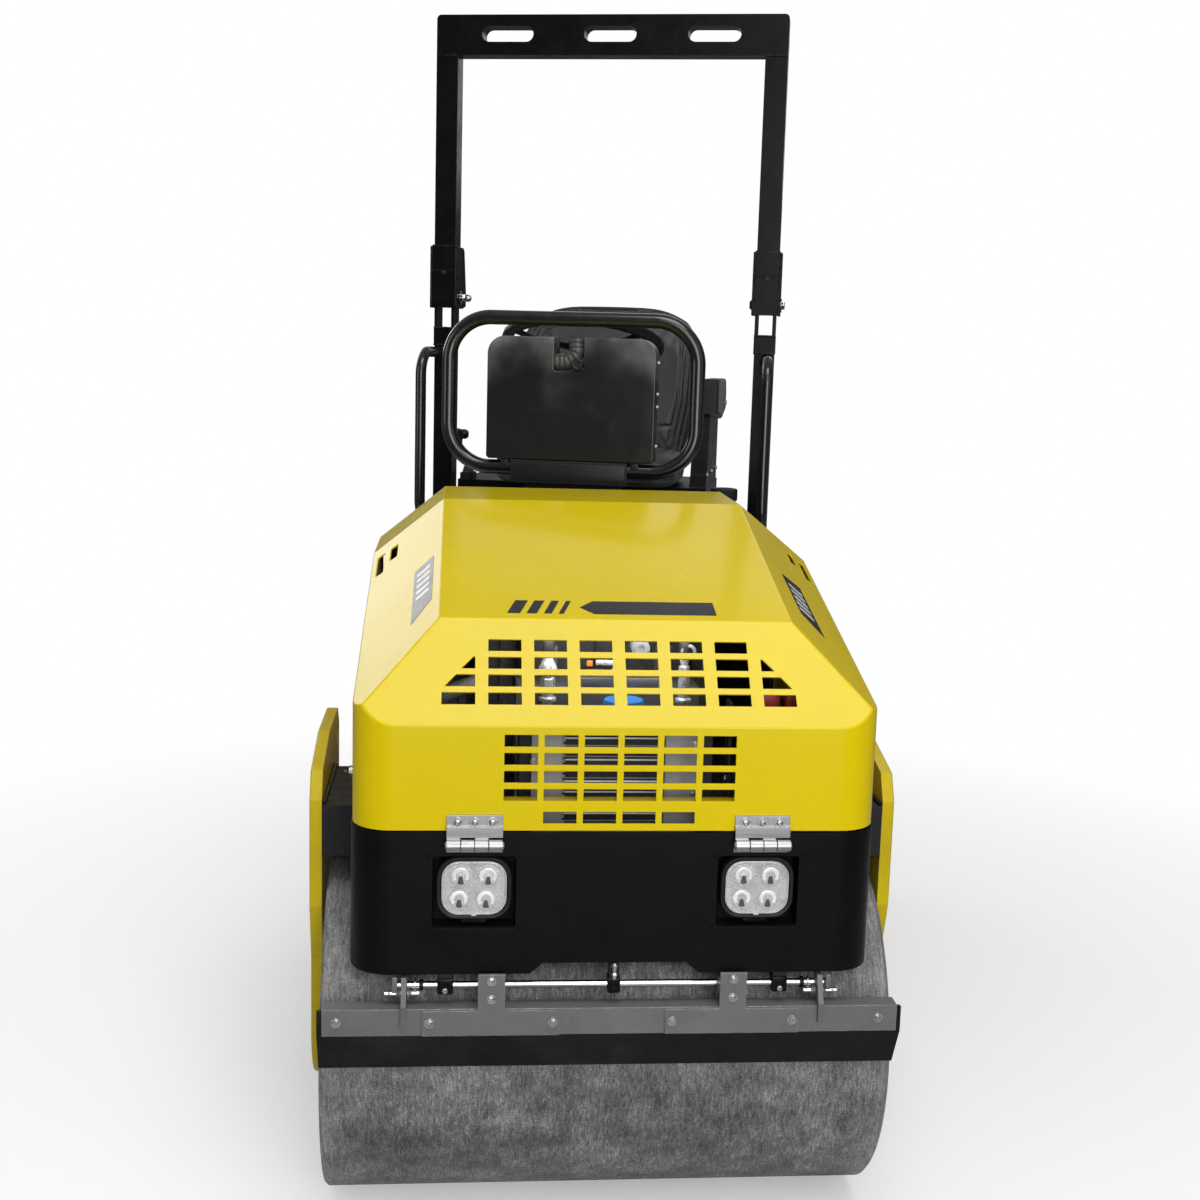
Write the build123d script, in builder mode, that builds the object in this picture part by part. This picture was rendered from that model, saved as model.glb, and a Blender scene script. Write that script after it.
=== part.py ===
from build123d import *
import os
from math import sin, cos, radians, sqrt, atan2, degrees

os.makedirs("parts", exist_ok=True)

# ---------------------------------------------------------------------------
# Compact ride-on tandem road roller, millimetres, +Z up.
# Machine axes while modelling: x to the right, y to the rear, ground at z = 0,
# y = 0 above the front drum's contact line. The rear frame is modelled straight
# and then steered about the centre pivot, as the machine stands.
# ---------------------------------------------------------------------------

# drums
DRUM_R = 295.0
DRUM_W = 900.0
DRUM_SHELL = 17.0
DRUM_HEAD_X = 350.0        # inner face of a drum head, from the centre
DRUM_HEAD_T = 20.0
STUB_R = 40.0              # axle stub
FIT = 0.05                 # radial running clearance

# frame
WHEELBASE = 1450.0
PIVOT_Y = WHEELBASE / 2
REAR_Y = WHEELBASE         # rear drum axle
STEER = 13.4               # steered angle of the rear frame, clockwise from above
SIDE_X = 458.0             # inner face of a side plate
SIDE_T = 20.0
DECK_Z = 605.0
DECK_T = 12.0
BEAM_Z = 690.0             # top of the cross beams

EYE = (178.0, 730.0)       # lashing eye, from the axle towards the pivot
EYE_R = 16.0

# hood
HOOD_X = 401.0
HOOD_Y0 = -331.0
HOOD_Y1 = 500.0
SPLIT_Z = 708.0
LOW_RIDGE_Z = 868.0
RIDGE_Y, RIDGE_Z = -217.0, 1011.0
FOLD_Y, FOLD_Z = 278.0, 1147.0
BACK_Z = 1151.0
TOP_HALF = 274.0
BEVEL_SIDE_DROP = 104.0    # bevel height from the top edge to the side
CORNER_R = 62.0
SHEET = 3.0
NOSE_Z0 = 483.0

# hood hinge line
HINGE_Y, HINGE_Z = -344.0, 689.0
KNUCKLE_R = 9.0

# operator's station, along s = y - PIVOT_Y
HOOP_S = -80.0
WHEEL_R = 178.0
ROPS_S = 350.0
ROPS_HALF = 398.0
POST = 50.0
ROPS_TOP = 2168.0
ROPS_PIN_Z = 1538.0

# placing of the finished machine: origin under the middle of its overall box
ORIGIN_X = 102.446
ORIGIN_Y = 756.076

FRONT_PLACE = Location((-ORIGIN_X, -ORIGIN_Y, 0))
REAR_PLACE = (FRONT_PLACE * Location((0, PIVOT_Y, 0), (0, 0, -STEER))
              * Location((0, -PIVOT_Y, 0)))


def save(shape, name, place):
    placed = shape.moved(place)
    placed.label = name
    export_step(placed, f"parts/{name}.step")


def s(v):
    """y of a point v behind the centre pivot, with the machine straight"""
    return PIVOT_Y + v


# ---------------------------------------------------------------------------
# drums: a rolled shell, two recessed heads, bored hubs
# ---------------------------------------------------------------------------
def drum(axle_y):
    with BuildPart() as body:
        with BuildSketch(Plane.YZ.offset(-DRUM_W / 2)):
            with Locations((axle_y, DRUM_R)):
                Circle(DRUM_R)
        extrude(amount=DRUM_W)
        chamfer(body.edges().filter_by(GeomType.CIRCLE), 5)
        for side in (-1, 1):
            # recess outside the head
            with BuildSketch(Plane.YZ.offset(side * (DRUM_HEAD_X + DRUM_HEAD_T))):
                with Locations((axle_y, DRUM_R)):
                    Circle(DRUM_R - DRUM_SHELL)
                    Circle(72, mode=Mode.SUBTRACT)
            extrude(amount=side * 100, mode=Mode.SUBTRACT)
            # hub boss stops short of the side plate
            with BuildSketch(Plane.YZ.offset(side * 400)):
                with Locations((axle_y, DRUM_R)):
                    Circle(76)
            extrude(amount=side * 60, mode=Mode.SUBTRACT)
        # closed space between the heads
        with BuildSketch(Plane.YZ.offset(-DRUM_HEAD_X)):
            with Locations((axle_y, DRUM_R)):
                Circle(DRUM_R - DRUM_SHELL)
        extrude(amount=2 * DRUM_HEAD_X, mode=Mode.SUBTRACT)
        # hub bores and the vibrator tube between the heads
        with BuildSketch(Plane.YZ.offset(-DRUM_HEAD_X - 1)):
            with Locations((axle_y, DRUM_R)):
                Circle(80)
        extrude(amount=2 * DRUM_HEAD_X + 2)
        for side in (-1, 1):
            with BuildSketch(Plane.YZ.offset(side * 330)):
                with Locations((axle_y, DRUM_R)):
                    Circle(STUB_R + FIT)
            extrude(amount=side * 100, mode=Mode.SUBTRACT)
    return body.part


save(drum(0), "front_drum", FRONT_PLACE)
save(drum(REAR_Y), "rear_drum", REAR_PLACE)


def axle_stubs(axle_y):
    with BuildPart() as stubs:
        for side in (-1, 1):
            with BuildSketch(Plane.YZ.offset(side * 335)):
                with Locations((axle_y, DRUM_R)):
                    Circle(STUB_R)
            extrude(amount=side * (SIDE_X - 335))
            with BuildSketch(Plane.YZ.offset(side * (SIDE_X - 40))):
                with Locations((axle_y, DRUM_R)):
                    Circle(95)
            extrude(amount=side * 40)
            # drive motor housing outside the boss
            with BuildSketch(Plane.YZ.offset(side * (SIDE_X - 52))):
                with Locations((axle_y, DRUM_R)):
                    Circle(62)
            extrude(amount=side * 14)
    return stubs.part


save(axle_stubs(0), "front_axle_stubs", FRONT_PLACE)
save(axle_stubs(REAR_Y), "rear_axle_stubs", REAR_PLACE)


# ---------------------------------------------------------------------------
# side plates that carry the drums, with the hub circle at the foot
# ---------------------------------------------------------------------------
def side_plate(side, axle_y, way):
    """way +1: outer end towards -y (front frame); -1: towards +y (rear frame)"""
    pts = [(-140, 520), (-140, 698), (-118, 742), (15, 775), (185, 775),
           (215, 745), (215, 610), (160, 520), (112, 420), (112, 295),
           (-112, 295), (-112, 420)]
    with BuildPart() as plate:
        with BuildSketch(Plane.YZ.offset(side * SIDE_X)) as outline:
            with BuildLine():
                Polyline(*[(axle_y + way * a, b) for a, b in pts], close=True)
            make_face()
            fillet(outline.vertices().filter_by(
                lambda v: v.Z > 500 and abs(v.Y - axle_y) > 100), 26)
            fillet(outline.vertices().filter_by(
                lambda v: 400 < v.Z < 450), 60)
            with Locations((axle_y, DRUM_R)):
                Circle(112)
        extrude(amount=side * SIDE_T)
        chamfer(plate.faces().sort_by(Axis.X)[-1 if side > 0 else 0].edges(), 2)
        # lashing eye in the upper inner corner
        with BuildSketch(Plane.YZ.offset(side * (SIDE_X - 1))):
            with Locations((axle_y + way * EYE[0], EYE[1])):
                Circle(EYE_R)
        extrude(amount=side * (SIDE_T + 2), mode=Mode.SUBTRACT)
    return plate.part


with BuildPart() as front_side_plates:
    add(side_plate(-1, 0, 1))
    add(side_plate(1, 0, 1))
save(front_side_plates.part, "front_side_plates", FRONT_PLACE)

with BuildPart() as rear_side_plates:
    add(side_plate(-1, REAR_Y, -1))
    add(side_plate(1, REAR_Y, -1))
save(rear_side_plates.part, "rear_side_plates", REAR_PLACE)


def scraper_arm(axle_y, way):
    """outline of an arm from under the deck to the scraper's shaft"""
    pts = [(240, 610), (284, 610), (284, 545), (326, 512), (326, 472),
           (306, 472), (306, 504), (240, 560)]
    return [(axle_y + way * a, b) for a, b in pts]


# ---------------------------------------------------------------------------
# front chassis: deck, cross beam, rear plate, cylinder bracket, scraper arms
# ---------------------------------------------------------------------------
with BuildPart() as front_chassis:
    with BuildSketch(Plane.XY.offset(DECK_Z)):
        with Locations((0, (-285 + 488) / 2)):
            Rectangle(780, 773)
    extrude(amount=DECK_T)
    # cross beam, closed box section with bolted ends
    with BuildSketch(Plane.XY.offset(DECK_Z)):
        with Locations((0, -20)):
            Rectangle(2 * SIDE_X, 240)
    extrude(amount=BEAM_Z - DECK_Z)
    with BuildSketch(Plane.XY.offset(DECK_Z + DECK_T)):
        with Locations((0, -20)):
            Rectangle(2 * SIDE_X - 60, 216)
    extrude(amount=BEAM_Z - DECK_Z - 2 * DECK_T, mode=Mode.SUBTRACT)
    # plate behind the drum
    with BuildSketch(Plane.XZ.offset(-340)):
        with Locations((0, 462)):
            Rectangle(600, 290)
    extrude(amount=-14)
    # gussets between plate and deck
    for gx in (-250, 250):
        with BuildSketch(Plane.YZ.offset(gx - 6)):
            with BuildLine():
                Polyline((354, 605), (480, 605), (354, 420), close=True)
            make_face()
        extrude(amount=12)
    # bracket of the steering cylinder
    with BuildSketch(Plane.XY.offset(394)):
        with Locations((200, 380)):
            Rectangle(80, 60)
        with Locations((200, 405)):
            Circle(26)
    extrude(amount=14)
    with BuildSketch(Plane.XY.offset(452)):
        with Locations((200, 380)):
            Rectangle(80, 60)
        with Locations((200, 405)):
            Circle(26)
    extrude(amount=14)
    with BuildSketch(Plane.XY.offset(394)):
        with Locations((200, 405)):
            Circle(12)
    extrude(amount=72)
    # arms down to the scraper's shaft
    for gx, w in ((-257, 21), (0, 15), (257, 21)):
        with BuildSketch(Plane.YZ.offset(gx - w / 2)):
            with BuildLine():
                Polyline(*scraper_arm(0, -1), close=True)
            make_face()
        extrude(amount=w)
save(front_chassis.part, "front_chassis", FRONT_PLACE)

# hitch: spine with closed ends, bolted to the plate behind the front drum
with BuildPart() as front_hitch:
    with BuildSketch(Plane.XZ.offset(-354)):
        with Locations((0, 430)):
            Rectangle(220, 230)
    extrude(amount=-226)
    with BuildSketch(Plane.XZ.offset(-368)):
        with Locations((0, 430)):
            Rectangle(192, 202)
    extrude(amount=-192, mode=Mode.SUBTRACT)
    # pivot lugs
    for z0 in (335, 505):
        with BuildSketch(Plane.XY.offset(z0)):
            with Locations((0, 640)):
                Rectangle(124, 170)
            with Locations((0, PIVOT_Y)):
                Circle(62)
        extrude(amount=20)
        with BuildSketch(Plane.XY.offset(z0)):
            with Locations((0, PIVOT_Y)):
                Circle(30)
        extrude(amount=20, mode=Mode.SUBTRACT)
save(front_hitch.part, "front_hitch", FRONT_PLACE)

# pin through the lugs and the rear frame's bearing
with BuildPart() as articulation_pin:
    with BuildSketch(Plane.XY.offset(328)):
        with Locations((0, PIVOT_Y)):
            Circle(30)
    extrude(amount=204)
    for z0, dz in ((525, 14), (321, 14)):
        with BuildSketch(Plane.XY.offset(z0)):
            with Locations((0, PIVOT_Y)):
                Circle(44)
        extrude(amount=dz)
save(articulation_pin.part, "articulation_pin", FRONT_PLACE)


# ---------------------------------------------------------------------------
# hood: folded sheet, open below and behind
# ---------------------------------------------------------------------------
SLOPE_T = Vector(0, RIDGE_Y - HOOD_Y0, RIDGE_Z - LOW_RIDGE_Z).normalized()
SLOPE = Plane(origin=(0, HOOD_Y0, LOW_RIDGE_Z), x_dir=(1, 0, 0),
              z_dir=Vector(1, 0, 0).cross(SLOPE_T))
TOP = Plane(origin=(0, RIDGE_Y, RIDGE_Z), x_dir=(1, 0, 0),
            z_dir=Vector(1, 0, 0).cross(Vector(0, FOLD_Y - RIDGE_Y, FOLD_Z - RIDGE_Z)))
BAND = Plane(origin=(0, FOLD_Y, FOLD_Z), x_dir=(1, 0, 0),
             z_dir=Vector(1, 0, 0).cross(Vector(0, HOOD_Y1 - FOLD_Y, BACK_Z - FOLD_Z)))


def bevel_plane(side, along):
    down = Vector(side * (HOOD_X - TOP_HALF), 0, -BEVEL_SIDE_DROP)
    n = along.cross(down) * side
    if n.Z < 0:
        n = n * -1
    return Plane(origin=(side * TOP_HALF, FOLD_Y, FOLD_Z), x_dir=along, z_dir=n)


FOLD_R, FOLD_R_IN = 5.0, 2.5     # bend radii of the sheet, outside and inside
BEVEL_SLOTS = ((-110.0, 141.0, 88.0), (-95.0, 111.0, 58.0))
BEVELS = [bevel_plane(-1, Vector(0, FOLD_Y - RIDGE_Y, FOLD_Z - RIDGE_Z)),
          bevel_plane(1, Vector(0, FOLD_Y - RIDGE_Y, FOLD_Z - RIDGE_Z)),
          bevel_plane(-1, Vector(0, HOOD_Y1 - FOLD_Y, BACK_Z - FOLD_Z)),
          bevel_plane(1, Vector(0, HOOD_Y1 - FOLD_Y, BACK_Z - FOLD_Z))]


def hood_body(inset, y1, z0, bend):
    with BuildPart() as body:
        with BuildSketch(Plane.XY.offset(z0)) as plan:
            with Locations((0, (HOOD_Y0 + inset + y1) / 2)):
                Rectangle(2 * (HOOD_X - inset), y1 - HOOD_Y0 - inset)
            fillet(plan.vertices().group_by(Axis.Y)[0], CORNER_R - inset)
        extrude(amount=460)
        for plane in (SLOPE, TOP, BAND, *BEVELS):
            split(bisect_by=plane.offset(-inset), keep=Keep.BOTTOM)
        # bend radius along the folds, not round the open ends
        folds = body.edges().filter_by(
            lambda e: e.bounding_box().min.Z > z0 + 120
            and e.bounding_box().min.Y < y1 - 0.5)
        fillet(folds, bend)
    return body.part


with BuildPart() as hood_shell:
    add(hood_body(0, HOOD_Y1, SPLIT_Z, FOLD_R))
    add(hood_body(SHEET, HOOD_Y1 + 20, SPLIT_Z - 20, FOLD_R_IN), mode=Mode.SUBTRACT)
    # lower grille in the upright front: four rows of six, one of four
    with BuildSketch(Plane.XZ.offset(-HOOD_Y0 - 20)):
        for row in range(4):
            with Locations((0, 845.8 - 27.6 * row)):
                with GridLocations(59.6, 1, 6, 1):
                    Rectangle(50, 18.3)
        with Locations((0, 728)):
            with GridLocations(59.6, 1, 4, 1):
                Rectangle(50, 18.3)
    extrude(amount=40, mode=Mode.SUBTRACT)
    # upper grille in the slope: six, six, six, eight, with cut ends between
    with BuildSketch(SLOPE.offset(-20)):
        for row, count in ((0, 8), (1, 6), (2, 6), (3, 6)):
            with Locations((0, 45.5 + 30 * row)):
                with GridLocations(69.5, 1, count, 1):
                    Rectangle(50, 20)
        for side in (-1, 1):
            with BuildLine():
                Polyline((side * 218.5, 65.5), (side * 264, 65.5),
                         (side * 247, 85.5), (side * 218.5, 85.5), close=True)
            make_face()
            with BuildLine():
                Polyline((side * 218.5, 95.5), (side * 239, 95.5),
                         (side * 221.5, 115.5), (side * 218.5, 115.5), close=True)
            make_face()
    extrude(amount=40, mode=Mode.SUBTRACT)
    # two slots in each bevel, near the rear
    for side, bevel in ((-1, BEVELS[0]), (1, BEVELS[1])):
        with BuildSketch(bevel.offset(-20)):
            for along, across, length in BEVEL_SLOTS:
                with Locations((along, -side * across)):
                    RectangleRounded(length, 17, 3)
        extrude(amount=40, mode=Mode.SUBTRACT)
save(hood_shell.part, "hood_shell", FRONT_PLACE)

# leaves screwed to the hood, with two knuckles each
LEAF_X = (-216.0, 218.0)
with BuildPart() as hood_hinge_leaves:
    for cx in LEAF_X:
        with BuildSketch(Plane.XZ.offset(-HOOD_Y0)):
            with Locations((cx, 720.5)):
                Rectangle(84, 25)
        extrude(amount=4)
        with BuildSketch(Plane.XZ.offset(-HOOD_Y0 + 4)):
            with Locations((cx, 708)):
                Rectangle(84, 16)
        extrude(amount=6)
        for k in (-31.5, 10.5):
            with BuildSketch(Plane.YZ.offset(cx + k - 10.2)):
                with Locations((HINGE_Y, HINGE_Z)):
                    Circle(KNUCKLE_R)
                with Locations((HINGE_Y + 6, HINGE_Z + 9)):
                    Rectangle(6, 14)
            extrude(amount=20.4)
        with BuildSketch(Plane.YZ.offset(cx - 50)):
            with Locations((HINGE_Y, HINGE_Z)):
                Circle(4.05)
        extrude(amount=100, mode=Mode.SUBTRACT)
save(hood_hinge_leaves.part, "hood_hinge_leaves", FRONT_PLACE)

# fixed leaves on the nose, the other knuckles and the pins
with BuildPart() as nose_hinge_leaves:
    for cx in LEAF_X:
        with BuildSketch(Plane.XZ.offset(-HOOD_Y0)):
            with Locations((cx, 683)):
                Rectangle(84, 16)
        extrude(amount=2)
        for k in (-10.5, 31.5):
            with BuildSketch(Plane.YZ.offset(cx + k - 10.2)):
                with Locations((HINGE_Y, HINGE_Z)):
                    Circle(KNUCKLE_R)
                with Locations((HINGE_Y + 7.5, HINGE_Z - 5)):
                    Rectangle(9, 8)
            extrude(amount=20.4)
        with BuildSketch(Plane.YZ.offset(cx - 42)):
            with Locations((HINGE_Y, HINGE_Z)):
                Circle(4)
        extrude(amount=84)
save(nose_hinge_leaves.part, "nose_hinge_leaves", FRONT_PLACE)

# ---------------------------------------------------------------------------
# nose panel: a bent sheet with two lamp recesses and a stepped lower edge
# ---------------------------------------------------------------------------
NOSE_BACK = -150.0
LAMP_X, LAMP_Z = 215.5, 615.0
with BuildPart() as nose_panel:
    with BuildSketch(Plane.XY.offset(NOSE_Z0)) as plan:
        with Locations((0, (HOOD_Y0 + NOSE_BACK) / 2)):
            Rectangle(2 * (HOOD_X + 2), NOSE_BACK - HOOD_Y0)
        fillet(plan.vertices().group_by(Axis.Y)[0], CORNER_R)
    extrude(amount=SPLIT_Z - 3 - NOSE_Z0)
    with BuildSketch(Plane.XY.offset(NOSE_Z0 - 1)) as plan_in:
        with Locations((0, (HOOD_Y0 + 4 + NOSE_BACK + 10) / 2)):
            Rectangle(2 * (HOOD_X - 2), NOSE_BACK + 10 - HOOD_Y0 - 4)
        fillet(plan_in.vertices().group_by(Axis.Y)[0], CORNER_R - 4)
    extrude(amount=SPLIT_Z - NOSE_Z0 + 2, mode=Mode.SUBTRACT)
    with BuildSketch(Plane.XZ.offset(-HOOD_Y0 - 20)):
        with BuildLine():
            Polyline((-129, NOSE_Z0 - 5), (-129, NOSE_Z0), (-110, NOSE_Z0 + 17),
                     (110, NOSE_Z0 + 17), (129, NOSE_Z0), (129, NOSE_Z0 - 5), close=True)
        make_face()
        for side in (-1, 1):
            with Locations((side * LAMP_X, LAMP_Z - 3)):
                RectangleRounded(125, 112, 5)
    extrude(amount=40, mode=Mode.SUBTRACT)
    # lamp pockets
    for side in (-1, 1):
        with BuildSketch(Plane.XZ.offset(-HOOD_Y0 - 44)):
            with Locations((side * LAMP_X, LAMP_Z - 3)):
                RectangleRounded(133, 120, 8)
        extrude(amount=44 - 4)
        with BuildSketch(Plane.XZ.offset(-HOOD_Y0 - 40)):
            with Locations((side * LAMP_X, LAMP_Z - 3)):
                RectangleRounded(125, 112, 5)
        extrude(amount=50, mode=Mode.SUBTRACT)
    # inner flange meets the deck's front edge
    with BuildSketch(Plane.XY.offset(DECK_Z)):
        with Locations((0, -307)):
            Rectangle(250, 44)
    extrude(amount=DECK_T)
    # the sides are cut out round the drum
    with BuildSketch(Plane.YZ.offset(-500)):
        with Locations((0, DRUM_R)):
            Circle(DRUM_R + 18)
    extrude(amount=1000, mode=Mode.SUBTRACT)
save(nose_panel.part, "nose_panel", FRONT_PLACE)

# square work lamps in the pockets
with BuildPart() as headlights:
    for side in (-1, 1):
        with BuildSketch(Plane.XZ.offset(-HOOD_Y0 - 22)):
            with Locations((side * LAMP_X, LAMP_Z + 2)):
                RectangleRounded(106, 92, 19)
        extrude(amount=20)
        with BuildSketch(Plane.XZ.offset(-HOOD_Y0 - 40)):
            with Locations((side * LAMP_X, LAMP_Z + 2)):
                RectangleRounded(70, 60, 12)
        extrude(amount=18)
        # foot bracket
        with BuildSketch(Plane.XZ.offset(-HOOD_Y0 - 40)):
            with Locations((side * LAMP_X, LAMP_Z - 50)):
                Rectangle(38, 10)
        extrude(amount=32)
        with BuildSketch(Plane.XZ.offset(-HOOD_Y0 - 20)):
            with Locations((side * LAMP_X, LAMP_Z - 46)):
                Rectangle(20, 12)
        extrude(amount=10)
save(headlights.part, "headlights", FRONT_PLACE)

# ---------------------------------------------------------------------------
# what shows under the hood
# ---------------------------------------------------------------------------
with BuildPart() as engine_block:
    with BuildSketch(Plane.XY.offset(DECK_Z + DECK_T)):
        with Locations((0, 264)):
            Rectangle(400, 320)
    extrude(amount=360)
    chamfer(engine_block.edges().group_by(Axis.Z)[-1], 30)
save(engine_block.part, "engine_block", FRONT_PLACE)

with BuildPart() as radiator:
    with BuildSketch(Plane.XY.offset(DECK_Z + DECK_T)):
        with Locations((0, -245)):
            Rectangle(300, 60)
    extrude(amount=263)
    # side brackets
    for gx in (-168, 168):
        with BuildSketch(Plane.XY.offset(DECK_Z + DECK_T)):
            with Locations((gx, -258)):
                Rectangle(36, 34)
        extrude(amount=275)
save(radiator.part, "radiator", FRONT_PLACE)

with BuildPart() as battery:
    with BuildSketch(Plane.XY.offset(DECK_Z + DECK_T)):
        with Locations((290, -215)):
            Rectangle(130, 100)
    extrude(amount=190)
    fillet(battery.edges().filter_by(Axis.Z), 6)
save(battery.part, "battery", FRONT_PLACE)

with BuildPart() as hydraulic_valve:
    with BuildSketch(Plane.XY.offset(BEAM_Z)):
        with Locations((0, -60)):
            Rectangle(300, 90)
    extrude(amount=190)
    for gx in (-95, 95):
        with BuildSketch(Plane.XY.offset(BEAM_Z + 190)):
            with Locations((gx, -60)):
                Circle(14)
        extrude(amount=60)
    # saddle down to the cross beam's lips
    with BuildSketch(Plane.XY.offset(BEAM_Z)):
        with Locations((0, -80)):
            Rectangle(300, 120)
    extrude(amount=12)
save(hydraulic_valve.part, "hydraulic_valve", FRONT_PLACE)

with BuildPart() as air_cleaner:
    with BuildSketch(Plane.YZ.offset(-380)):
        with Locations((150, 780)):
            Circle(62)
    extrude(amount=150)
    with BuildSketch(Plane.XY.offset(DECK_Z + DECK_T)):
        with Locations((-305, 150)):
            Rectangle(60, 40)
    extrude(amount=120)
save(air_cleaner.part, "air_cleaner", FRONT_PLACE)

# fixed panel closing the engine space behind
with BuildPart() as engine_bulkhead:
    with BuildSketch(Plane.XZ.offset(-470)):
        with BuildLine():
            Polyline((-386, 617), (386, 617), (386, 1030), (268, 1130),
                     (-268, 1130), (-386, 1030), close=True)
        make_face()
    extrude(amount=-4)
    with BuildSketch(Plane.XZ.offset(-466)):
        with BuildLine():
            Polyline((-386, 617), (386, 617), (386, 640), (-386, 640), close=True)
        make_face()
    extrude(amount=-4)
save(engine_bulkhead.part, "engine_bulkhead", FRONT_PLACE)


# ---------------------------------------------------------------------------
# scrapers: angle bar with two T plates, kinked rubber strip, bright shaft
# ---------------------------------------------------------------------------
SHAFT_S, SHAFT_Z = 320.0, 462.0


def scraper_bar(axle_y, way):
    """way -1 puts the bar before the front drum, +1 behind the rear drum"""
    def yy(v):
        return axle_y + way * v
    with BuildPart() as bar:
        with BuildSketch(Plane.YZ.offset(-441)):
            with BuildLine():
                Polyline((yy(342), 390), (yy(342), 432), (yy(312), 432),
                         (yy(312), 427), (yy(337), 427), (yy(337), 390), close=True)
            make_face()
        extrude(amount=882)
        for cx in (-187, 182):
            with BuildSketch(Plane.XZ.offset(-yy(342))):
                with Locations((cx, 411)):
                    Rectangle(207, 40)
                with Locations((cx, 455)):
                    Rectangle(41, 66)
            extrude(amount=-way * 5)
            # clamp block from the T plate back round the shaft
            with BuildSketch(Plane.YZ.offset(cx - 20.5)):
                with Locations((yy(324.5), SHAFT_Z)):
                    Rectangle(35, 20)
                with Locations((yy(SHAFT_S), SHAFT_Z)):
                    Circle(5.5, mode=Mode.SUBTRACT)
            extrude(amount=41)
    return bar.part


def scraper_rubber(axle_y, way):
    def yy(v):
        return axle_y + way * v
    with BuildPart() as strip:
        with BuildSketch(Plane.YZ.offset(-449)):
            with BuildLine():
                Polyline((yy(337), 427), (yy(337), 388), (yy(304), 322),
                         (yy(297.5), 325), (yy(329), 390), (yy(329), 427), close=True)
            make_face()
        extrude(amount=898)
    return strip.part


def scraper_shaft(axle_y, way):
    def yy(v):
        return axle_y + way * v
    with BuildPart() as shaft:
        with BuildSketch(Plane.YZ.offset(-330)):
            with Locations((yy(SHAFT_S), SHAFT_Z)):
                Circle(5.5)
        extrude(amount=660)
        # collars under the frame's arms
        for cx, w in ((-257, 21), (0, 15), (257, 21)):
            with BuildSketch(Plane.YZ.offset(cx - w / 2)):
                with Locations((yy(318), SHAFT_Z)):
                    Rectangle(20, 20)
            extrude(amount=w)
        # end plates over the angle bar's edge
        for side in (-1, 1):
            with BuildSketch(Plane.YZ.offset(side * 315)):
                with BuildLine():
                    Polyline((yy(313), 432), (yy(342), 432), (yy(342), 408), (yy(350), 408),
                             (yy(350), 438), (yy(332), 478), (yy(309), 478), close=True)
                make_face()
            extrude(amount=side * 8)
            # adjusting screws
            with BuildSketch(Plane.YZ.offset(side * 296)):
                with Locations((yy(324), 450)):
                    Circle(4)
            extrude(amount=side * 52)
    return shaft.part


save(scraper_bar(0, -1), "front_scraper_bar", FRONT_PLACE)
save(scraper_rubber(0, -1), "front_scraper_rubber", FRONT_PLACE)
save(scraper_shaft(0, -1), "front_scraper_shaft", FRONT_PLACE)
save(scraper_bar(REAR_Y, 1), "rear_scraper_bar", REAR_PLACE)
save(scraper_rubber(REAR_Y, 1), "rear_scraper_rubber", REAR_PLACE)
save(scraper_shaft(REAR_Y, 1), "rear_scraper_shaft", REAR_PLACE)

# ---------------------------------------------------------------------------
# rear chassis
# ---------------------------------------------------------------------------
with BuildPart() as rear_chassis:
    with BuildSketch(Plane.XY.offset(DECK_Z)):
        with Locations((0, (s(265) + REAR_Y + 285) / 2)):
            Rectangle(780, REAR_Y + 285 - s(265))
    extrude(amount=DECK_T)
    with BuildSketch(Plane.XY.offset(DECK_Z)):
        with Locations((0, REAR_Y + 20)):
            Rectangle(2 * SIDE_X, 240)
    extrude(amount=BEAM_Z - DECK_Z)
    with BuildSketch(Plane.XY.offset(DECK_Z + DECK_T)):
        with Locations((0, REAR_Y + 20)):
            Rectangle(2 * SIDE_X - 60, 216)
    extrude(amount=BEAM_Z - DECK_Z - 2 * DECK_T, mode=Mode.SUBTRACT)
    # plate before the drum
    with BuildSketch(Plane.XZ.offset(-(REAR_Y - 354))):
        with Locations((0, 462)):
            Rectangle(600, 290)
    extrude(amount=-14)
    for gx in (-250, 250):
        with BuildSketch(Plane.YZ.offset(gx - 6)):
            with BuildLine():
                Polyline((REAR_Y - 354, 605), (REAR_Y - 460, 605),
                         (REAR_Y - 354, 440), close=True)
            make_face()
        extrude(amount=12)
    # arms to the rear scraper's shaft
    for gx, w in ((-257, 21), (0, 15), (257, 21)):
        with BuildSketch(Plane.YZ.offset(gx - w / 2)):
            with BuildLine():
                Polyline(*scraper_arm(REAR_Y, 1), close=True)
            make_face()
        extrude(amount=w)
save(rear_chassis.part, "rear_chassis", REAR_PLACE)

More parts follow.
